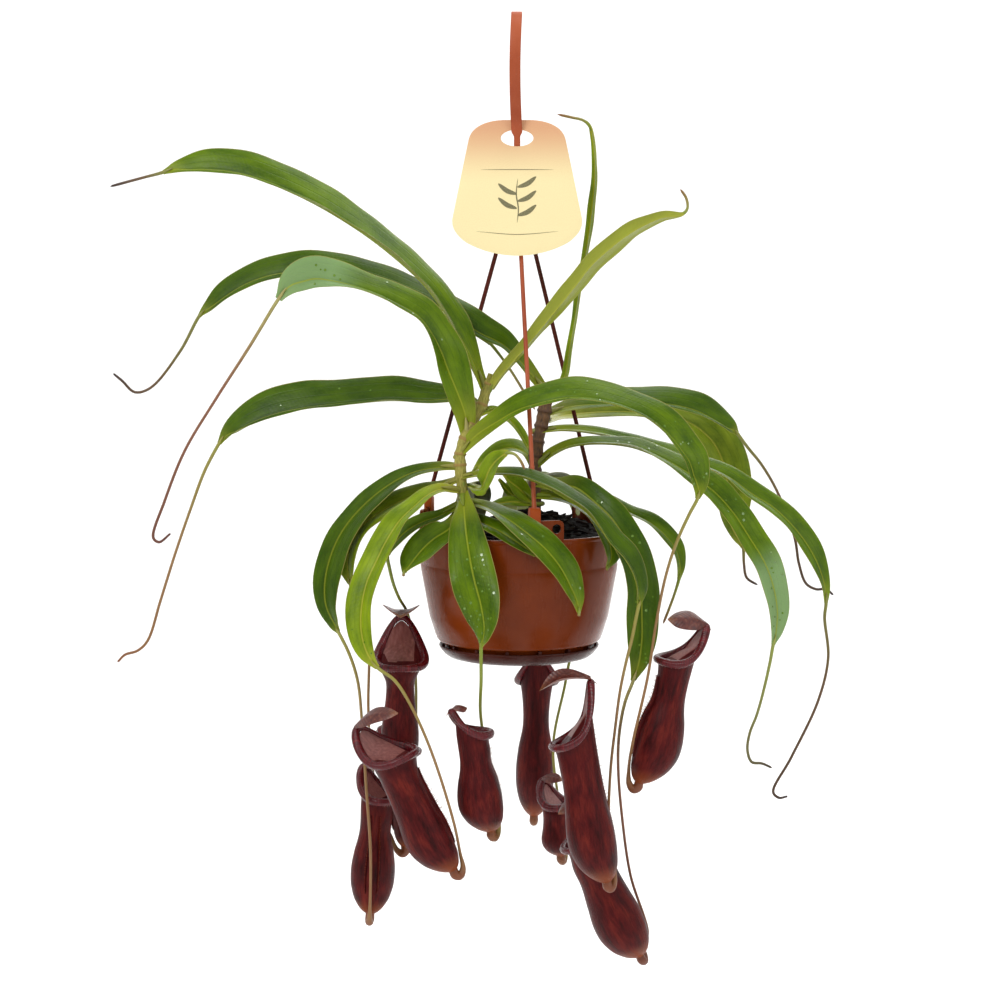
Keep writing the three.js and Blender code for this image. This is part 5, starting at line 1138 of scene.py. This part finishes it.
class Finish:
    """A material under construction: each method adds nodes and returns an output socket."""

    def __init__(self, name, roughness, **settings):
        self.material = bpy.data.materials.new(name)
        self.material.use_nodes = True
        tree = self.material.node_tree
        self.nodes, self.links = tree.nodes, tree.links
        self.shader = self.nodes["Principled BSDF"]
        for label, value in dict(settings, Roughness=roughness).items():
            self.shader.inputs[label.replace("_", " ")].default_value = value

    def add(self, kind, **inputs):
        node = self.nodes.new(kind)
        for label, value in inputs.items():
            self.feed(node.inputs[label.replace("_", " ")], value)
        return node

    def feed(self, socket, value):
        if isinstance(value, bpy.types.NodeSocket):
            self.links.new(value, socket)
        else:
            socket.default_value = value

    def split(self, vector):
        return self.add("ShaderNodeSeparateXYZ", Vector=vector).outputs

    def pattern(self, label):
        """The three numbers of a pattern coordinate."""
        node = self.nodes.new("ShaderNodeAttribute")
        node.attribute_name = label
        return self.split(node.outputs["Vector"])

    def spot(self):
        """Where the point is on its piece, in metres."""
        return self.nodes.new("ShaderNodeTexCoord").outputs["Object"]

    def vector(self, x, y, z=0.0):
        return self.add("ShaderNodeCombineXYZ", X=x, Y=y, Z=z).outputs["Vector"]

    def math(self, operation, a, b=0.5):
        node = self.nodes.new("ShaderNodeMath")
        node.operation = operation
        self.feed(node.inputs[0], a)
        self.feed(node.inputs[1], b)
        return node.outputs["Value"]

    def times(self, a, b):
        return self.math("MULTIPLY", a, b)

    def wave(self, value, rate):
        return self.math("SINE", self.times(value, rate))

    def ease(self, value, low, high, start=0.0, end=1.0):
        """A smooth step of a value from start at low to end at high."""
        node = self.add("ShaderNodeMapRange", Value=value, From_Min=low, From_Max=high,
                        To_Min=start, To_Max=end)
        node.interpolation_type = "SMOOTHSTEP"
        return node.outputs["Result"]

    def noise(self, where, scale, detail, roughness=0.55):
        return self.add("ShaderNodeTexNoise", Vector=where, Scale=scale, Detail=detail,
                        Roughness=roughness).outputs["Fac"]

    def mix(self, share, first, second):
        node = self.nodes.new("ShaderNodeMix")
        node.data_type = "RGBA"
        for socket, value in ((node.inputs["Factor"], share), (node.inputs[6], first),
                              (node.inputs[7], second)):
            self.feed(socket, rgb(value) if isinstance(value, str) else value)
        return node.outputs[2]

    def turn(self, colour, other, value, low, high, start, end):
        """A colour with a share of another: start where a value is low and end where it's high."""
        return self.mix(self.ease(value, low, high, start, end), colour, other)

    def ramp(self, value, *stops):
        """A colour from stops of (spot, hex code)."""
        node = self.add("ShaderNodeValToRGB", Fac=value)
        elements = node.color_ramp.elements
        while len(elements) < len(stops):
            elements.new(0.5)
        for element, (spot, code) in zip(elements, stops):
            element.position, element.color = spot, rgb(code)
        return node.outputs["Color"]

    def done(self, colour, roughness=None, height=None, relief=0.0):
        """The material, with a bump of a height whose relief is in metres."""
        self.feed(self.shader.inputs["Base Color"], colour)
        if roughness is not None:
            self.feed(self.shader.inputs["Roughness"], roughness)
        if height is not None:
            bump = self.add("ShaderNodeBump", Height=height, Distance=relief, Strength=1.0)
            self.feed(self.shader.inputs["Normal"], bump.outputs["Normal"])
        return self.material


# Colours of a blade: dark and light green, its base, its lower side and, on some, its tip.
BLADE_COLOURS = dict(
    mid=["375200", "5c7602", "98a02c", "7c8430"],
    dark=["2a4400", "466000", "8c922a", "6e7828"],
    bright=["536c02", "82980c", "b4b040", "9a9c3c"],
    olive=["4c6008", "7a8a1c", "a4a03c", "8c8e3c"],
    pale=["375200", "5c7602", "98a02c", "7c8430", "7d9a66"],
)
BLADE_MARGIN = "9a8f4a"
# Colours along a tendril, from the blade to its end.
TENDRIL_COLOURS = dict(
    green=[(0.0, "788a22"), (0.5, "8c8440"), (1.0, "7d5026")],
    tan=[(0.0, "8c8c38"), (0.35, "8f6d42"), (1.0, "7a4520")],
    brown=[(0.0, "a09a58"), (0.25, "84553a"), (1.0, "55291e")],
    dark=[(0.0, "7d7f35"), (0.35, "63482a"), (1.0, "2c1610")],
    olive=[(0.0, "8a9440"), (0.5, "6f6a38"), (1.0, "3a2a1c")],
)
TENDRIL_FOOT = "6e3212"
STEM_COLOURS = dict(left=["7c7a22", "b5aa52", "9a7a3c"], right=["3a2412", "7d5734", "4a2c16"])
# Dark and light colour, roughness and dust of each plastic.
PLASTICS = dict(
    pot=["682706", "80360d", 0.24, 0.03],
    saucer=["34110a", "4c2018", 0.26, 0.06],
    hanger=["8f3d22", "b05c3c", 0.34, 0.08],
    # strand is the hanger's plastic darkened: painted shade for the two back strands
    strand=["3d120b", "5c2016", 0.34, 0.05],
    clip=["8f3a10", "b05020", 0.36, 0.08],
)
DUST = "c9a590"


def leaf_finish(name, dark, light, base, under, tip=None):
    """A blade. Patterns: [across, along, lower side] and [share of the width, share, seed]."""
    made = Finish(name, 0.42, Specular_IOR_Level=0.16, Subsurface_Weight=0.06,
                  Subsurface_Radius=(0.4, 0.8, 0.1), Subsurface_Scale=0.002)
    across, along, lower = made.pattern("first")
    u, share, seed = made.pattern("second")
    off, edge = made.math("ABSOLUTE", across), made.math("ABSOLUTE", u)
    stretched = made.vector(made.times(across, 3.0), along, made.times(seed, 7.0))
    fine = made.noise(stretched, 0.35, 4.0)
    veins = made.wave(made.math("SUBTRACT", along, made.times(off, 0.55)), 2.1)
    nerves = made.ease(made.wave(edge, 21.0), 0.8, 1.0)
    colour = made.ramp(made.noise(stretched, 0.035, 3.0), (0.32, dark), (0.68, light))
    colour = made.turn(colour, light, fine, 0.45, 0.75, 0, 0.35)
    colour = made.turn(colour, light, veins, 0.2, 1.0, 0, 0.07)
    colour = made.mix(made.times(nerves, 0.28), colour, dark)
    colour = made.turn(colour, base, share, 0.0, 0.22, 0.75, 0)
    colour = made.turn(colour, base, share, 0.86, 1.0, 0, 0.5)
    if tip:
        colour = made.turn(colour, tip, share, 0.66, 0.76, 0, 0.85)
    colour = made.turn(colour, base, off, 0.25, 0.85, 0.65, 0)
    colour = made.mix(made.times(lower, 0.72), colour, under)
    colour = made.turn(colour, BLADE_MARGIN, edge, 0.955, 0.99, 0, 0.7)
    height = made.math("ADD", made.times(veins, 0.06), made.times(fine, 0.5))
    height = made.math("SUBTRACT", height, made.times(nerves, 0.35))
    return made.done(colour, made.ease(fine, 0.3, 0.8, 0.3, 0.5), height, 0.00022)


def tendril_finish(name, *stops):
    """A tendril, coloured along its length. Second pattern: [foot, share]."""
    made = Finish(name, 0.45, Subsurface_Weight=0.03, Subsurface_Scale=0.001)
    cosine, sine, length = made.pattern("first")
    foot, share = made.pattern("second")[:2]
    streaks = made.noise(made.vector(cosine, sine, made.times(length, 0.06)), 2.4, 4.0)
    wander = made.times(made.math("SUBTRACT", streaks, 0.5), 0.35)
    colour = made.ramp(made.math("ADD", share, wander), *stops)
    colour = made.turn(colour, stops[-1][1], streaks, 0.5, 0.75, 0, 0.35)
    colour = made.turn(colour, TENDRIL_FOOT, foot, 0.3, 1, 0, 0.75)
    return made.done(colour, made.ease(streaks, 0.3, 0.7, 0.35, 0.6), streaks, 0.0003)


def jug_finish():
    """A jug's skin, blotched and streaked, with a tan foot. Second pattern: [share, turn, seed]."""
    made = Finish("pitcher_skin", 0.38, Specular_IOR_Level=0.12, Subsurface_Weight=0.05,
                  Subsurface_Radius=(1.0, 0.15, 0.1), Subsurface_Scale=0.002)
    x, y, z = made.pattern("first")
    share, _, seed = made.pattern("second")
    tall = made.vector(x, y, made.math("ADD", made.times(z, 0.32), made.times(seed, 37.0)))
    patches = made.noise(tall, 0.16, 4.0, 0.6)
    streaks = made.noise(made.vector(x, y, made.times(z, 0.12)), 0.95, 4.0)
    fine = made.noise(made.vector(x, y, made.times(z, 0.5)), 1.9, 4.0, 0.7)
    colour = made.ramp(patches, (0.3, "2b0506"), (0.5, "4c0d0e"), (0.75, "6b2118"))
    colour = made.turn(colour, "260405", streaks, 0.5, 0.66, 0, 0.45)
    colour = made.turn(colour, "83382a", fine, 0.56, 0.8, 0, 0.25)
    colour = made.turn(colour, "86421c", share, 0.0, 0.16, 0.85, 0)
    colour = made.turn(colour, "43080c", share, 0.75, 1.0, 0, 0.55)
    height = made.math("ADD", made.times(streaks, 0.6), made.times(fine, 0.4))
    return made.done(colour, made.ease(patches, 0.3, 0.7, 0.34, 0.5), height, 0.0005)


def lip_finish():
    """The lip: glossy crimson with fine ribs across the roll."""
    made = Finish("pitcher_lip", 0.24, Specular_IOR_Level=0.36)
    roll = made.pattern("first")[0]
    _, turn, seed = made.pattern("second")
    ribs = made.wave(made.math("ARCCOSINE", made.times(turn, 0.9999)), 90.0)
    cloud = made.noise(made.vector(made.times(turn, 3.0), roll, seed), 2.0, 3.0)
    colour = made.ramp(cloud, (0.3, "35040a"), (0.55, "580a13"), (0.75, "76161d"))
    colour = made.turn(colour, "2a0407", ribs, -0.2, 1.0, 0, 0.22)
    return made.done(colour, None, ribs, 0.00006)


def inside_finish():
    """The jug's waxy inner wall, with painted shade that darkens it towards its floor."""
    made = Finish("pitcher_inside", 0.42, Subsurface_Weight=0.05, Subsurface_Scale=0.001)
    cloud = made.noise(made.vector(*made.pattern("first")), 0.5, 4.0)
    colour = made.ramp(cloud, (0.3, "6b3733"), (0.55, "804a45"), (0.75, "94605a"))
    # Painted shade: deep in the jug the wall turns near black.
    colour = made.turn(colour, "2a0a0a", made.pattern("second")[0], 0.5, 0.9, 0.8, 0)
    return made.done(colour, None, cloud, 0.0002)


def lid_finish():
    """A lid with slanting veins. First pattern: [across, along, lower side]."""
    made = Finish("pitcher_lid", 0.4, Subsurface_Weight=0.08, Subsurface_Scale=0.001)
    across, along, lower = made.pattern("first")
    cloud = made.noise(made.vector(across, along, lower), 0.35, 4.0)
    off = made.times(made.math("ABSOLUTE", across), 0.8)
    veins = made.wave(made.math("SUBTRACT", along, off), 2.4)
    colour = made.ramp(cloud, (0.3, "3f1512"), (0.55, "5e2c24"), (0.75, "85503c"))
    colour = made.turn(colour, "2b0b0a", veins, 0.2, 1.0, 0, 0.12)
    colour = made.mix(made.times(lower, 0.35), colour, "a06a58")
    colour = made.turn(colour, "a06a3c", made.pattern("second")[0], 0.8, 1.0, 0, 0.4)
    return made.done(colour, None, veins, 0.00005)


def hair_finish():
    made = Finish("pitcher_hairs", 0.5)
    length = made.pattern("first")[2]
    return made.done(made.ramp(made.times(length, 0.8), (0, "6b3a30"), (1, "b99a86")))


def stem_finish(name, dark, light, ring):
    """Bark with furrows and a darker ring at each node. Second pattern: [node, share]."""
    made = Finish(name, 0.55)
    cosine, sine, length = made.pattern("first")
    wide = made.vector(made.times(cosine, 3.5), made.times(sine, 3.5), made.times(length, 0.25))
    cloud = made.noise(wide, 0.9, 5.0, 0.6)
    furrows = made.noise(made.vector(cosine, sine, made.times(length, 0.03)), 7.0, 3.0)
    colour = made.ramp(cloud, (0.32, dark), (0.68, light))
    colour = made.turn(colour, dark, furrows, 0.5, 0.7, 0, 0.4)
    colour = made.turn(colour, ring, made.pattern("second")[0], 0.15, 0.7, 0, 0.85)
    height = made.math("ADD", furrows, made.times(cloud, 0.6))
    return made.done(colour, made.ease(cloud, 0.3, 0.7, 0.45, 0.7), height, 0.0008)


def plastic_finish(name):
    """Moulded plastic with faint streaks, scuffs and dust."""
    dark, light, roughness, dust = PLASTICS[name]
    made = Finish(f"{name}_plastic_face", roughness, Specular_IOR_Level=0.16)
    where = made.spot()
    x, y, z = made.split(where)
    streaks = made.noise(made.vector(x, y, made.times(z, 0.15)), 60.0, 4.0)
    grain = made.noise(where, 900.0, 2.0)
    colour = made.ramp(made.noise(where, 18.0, 4.0), (0.3, dark), (0.7, light))
    colour = made.turn(colour, light, streaks, 0.5, 0.75, 0, 0.25)
    colour = made.turn(colour, DUST, grain, 0.6, 0.78, 0, dust)
    rough = made.ease(streaks, 0.3, 0.7, roughness - 0.06, roughness + 0.1)
    return made.done(colour, rough, grain, 0.00006)


def card_finish():
    """The tag's card: peach at its top, fading to cream. First pattern: [across, up]."""
    made = Finish("tag_card_face", 0.62)
    across, up = made.pattern("first")[:2]
    fibres = made.noise(made.vector(across, up), 1.4, 5.0)
    colour = made.turn("ebdba6", "cf9870", up, -34.0, 12.0, 0, 1)
    colour = made.turn(colour, "d3b884", fibres, 0.4, 0.7, 0, 0.25)
    return made.done(colour, None, fibres, 0.00006)


def ink_finish():
    made = Finish("tag_ink", 0.55)
    across, up = made.pattern("first")[:2]
    wear = made.noise(made.vector(across, up), 1.1, 4.0)
    return made.done(made.ramp(wear, (0.35, "5f5a3c"), (0.7, "7f7a55")))


def soil_finish(name, dark, light):
    made = Finish(name, 0.85, Specular_IOR_Level=0.1)
    where = made.spot()
    cloud, grain = made.noise(where, 140.0, 5.0, 0.65), made.noise(where, 700.0, 4.0, 0.7)
    colour = made.ramp(cloud, (0.3, dark), (0.7, light))
    height = made.math("ADD", cloud, made.times(grain, 0.5))
    return made.done(colour, made.ease(cloud, 0.3, 0.7, 0.6, 0.95), height, 0.0012)


def clouded_finish(name, dark, light, scale, roughness, **settings):
    """A finish with nothing but soft clouds of two colours."""
    made = Finish(name, roughness, **settings)
    return made.done(made.ramp(made.noise(made.spot(), scale, 2.0), (0.3, dark), (0.7, light)))


# ---------- assembly ----------

SHOOT_SEED = 41  # the shoot's first leaf; the others follow
# The ring of scales that holds the shoot: its centre as the plant is laid out, and its size.
SHOOT_RING = dict(centre=[11, 18, 2], radius=5.6, thickness=1.6, rows=40)
# The stage, in metres: a floor that curves up into a wall.
STAGE = dict(front=-5.0, flat=1.0, floor=-0.95, wall=3.2, bend=1.2, top=4.5, half=6.0)
# Each lamp's place, size and power; lamps aim at the plant unless another spot is named.
LAMPS = dict(
    key=[(-1.3, -1.9, 1.3), 1.1, 34],
    fill=[(1.9, -1.5, 0.3), 1.5, 12],
    top=[(0.2, 0.3, 1.7), 1.3, 20],
    back=[(0.6, 1.8, 0.9), 1.4, 14],
    backdrop=[(0, 1.0, 1.6), 2.0, 30, (0, 3.2, 0)],
)
AIM = (0, 0, -0.35)
SKY_STRENGTH = 0.6


def make_leaves():
    """Every leaf on its stem, and the young ones at the right stem's foot."""
    # A drop takes the leaf's green, a little paler, under a bright highlight.
    water = clouded_finish("water_drop", "4a6c16", "66862c", 500.0, 0.06, IOR=1.33,
                           Coat_Weight=0.8, Coat_Roughness=0.03)
    blades = {key: leaf_finish(f"leaf_{key}", *codes) for key, codes in BLADE_COLOURS.items()}
    tendrils = {key: tendril_finish(f"tendril_{key}", *stops)
                for key, stops in TENDRIL_COLOURS.items()}
    for number, leaf in enumerate(LEAVES, 1):
        skin = Skin()
        add_leaf(skin, leaf, number)
        name = f"leaf_{number:02d}"
        blade, tendril = leaf.get("finish", "mid"), leaf.get("tendril_finish", "green")
        skin.piece(f"{name}_blade", [blades[blade], tendrils[tendril], water], name, "leaf")
    skin = Skin()
    for seed, leaf in enumerate(SHOOT, SHOOT_SEED):
        add_leaf(skin, dict(leaf, tendril=[]), seed)
    turn = np.append(around(SHOOT_RING["rows"]), 0)
    circle = SHOOT_RING["radius"] * stacked(np.cos(turn), np.sin(turn), 0)
    circle = circle + place([SHOOT_RING["centre"]])
    skin.tube(circle, SHOOT_RING["thickness"], LEAF_SLOTS["tendril"], 10,
              np.full((len(turn), 3), 0.2))
    finishes = [blades["bright"], tendrils["green"], water]
    skin.piece("basal_shoot_blades", finishes, "basal_shoot", "leaf")


def make_hanging():
    """The pot, its saucer and its potting mix, and the hanger with its tag."""
    plastics = {name: plastic_finish(name) for name in PLASTICS}
    make_pot(plastics["pot"])
    make_saucer(plastics["saucer"])
    make_soil(soil_finish("soil_face", "070403", "120b07"),
              soil_finish("bark_face", "0c0705", "21140e"))
    make_hook(plastics["hanger"])
    for end, azimuth in zip(("front", "back_right", "back_left"), ear_azimuths()):
        # The back strands take the darker strand copy of the hanger's plastic: painted shade where
        # they hang behind the plant.
        strand = plastics["hanger" if end == "front" else "strand"]
        make_strand(end, azimuth, [strand, plastics["clip"]])
    make_tag(card_finish(), ink_finish())


def make_stage():
    """A pale floor that curves up into a wall behind the plant."""
    floor, wall, bend = STAGE["floor"], STAGE["wall"], STAGE["bend"]
    route = [[STAGE["front"], floor], [STAGE["flat"], floor]]
    route += [[wall - bend + bend * math.sin(t), floor + bend * (1 - math.cos(t))]
              for t in np.linspace(0, np.pi / 2, 24)]
    route += [[wall, STAGE["top"]]]
    points = [[x, y, z] for y, z in route for x in (-STAGE["half"], STAGE["half"])]
    faces = [[2 * i, 2 * i + 1, 2 * i + 3, 2 * i + 2] for i in range(len(route) - 1)]
    mesh = bpy.data.meshes.new("stage_sweep")
    mesh.from_pydata(points, [], faces)
    mesh.materials.append(clouded_finish("stage_paper", "f6f6f5", "fafaf9", 3.0, 0.9))
    mesh.shade_smooth()
    in_scene("stage_sweep", mesh)


def make_light():
    """A white world and five square lamps."""
    world = bpy.data.worlds.new("studio")
    world.use_nodes = True
    sky = world.node_tree.nodes["Background"].inputs
    sky["Color"].default_value = (1, 1, 1, 1)
    sky["Strength"].default_value = SKY_STRENGTH
    bpy.context.scene.world = world
    for name, (spot, size, power, *aim) in LAMPS.items():
        lamp = bpy.data.lights.new(name, "AREA")
        lamp.shape, lamp.size, lamp.energy = "SQUARE", size, power
        holder = in_scene(name, lamp)
        holder.location = spot
        sight = Vector(aim[0] if aim else AIM) - Vector(spot)
        holder.rotation_euler = sight.to_track_quat("-Z", "Y").to_euler()
    bpy.context.scene.view_settings.view_transform = "Standard"


def make_camera():
    camera = bpy.data.cameras.new("camera")
    camera.lens, camera.sensor_width = LENS, 36
    camera.clip_start, camera.clip_end = 0.05, 50
    holder = in_scene("camera", camera)
    holder.location = in_metres(EYE)
    holder.rotation_euler = (math.pi / 2 - VIEW_TILT, 0, 0)
    bpy.context.scene.camera = holder


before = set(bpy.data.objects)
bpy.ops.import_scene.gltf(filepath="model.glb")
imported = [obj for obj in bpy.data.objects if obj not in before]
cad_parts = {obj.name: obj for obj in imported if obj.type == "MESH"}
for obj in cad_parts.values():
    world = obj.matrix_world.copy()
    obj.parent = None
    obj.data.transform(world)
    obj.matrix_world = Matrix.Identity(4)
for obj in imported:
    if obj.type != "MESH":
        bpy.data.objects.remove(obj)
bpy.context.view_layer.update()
make_camera()
make_light()
make_stage()
make_hanging()
for stem_side, colours in STEM_COLOURS.items():
    make_stem(stem_side, stem_finish(f"stem_{stem_side}_face", *colours))
make_leaves()
make_pitchers()
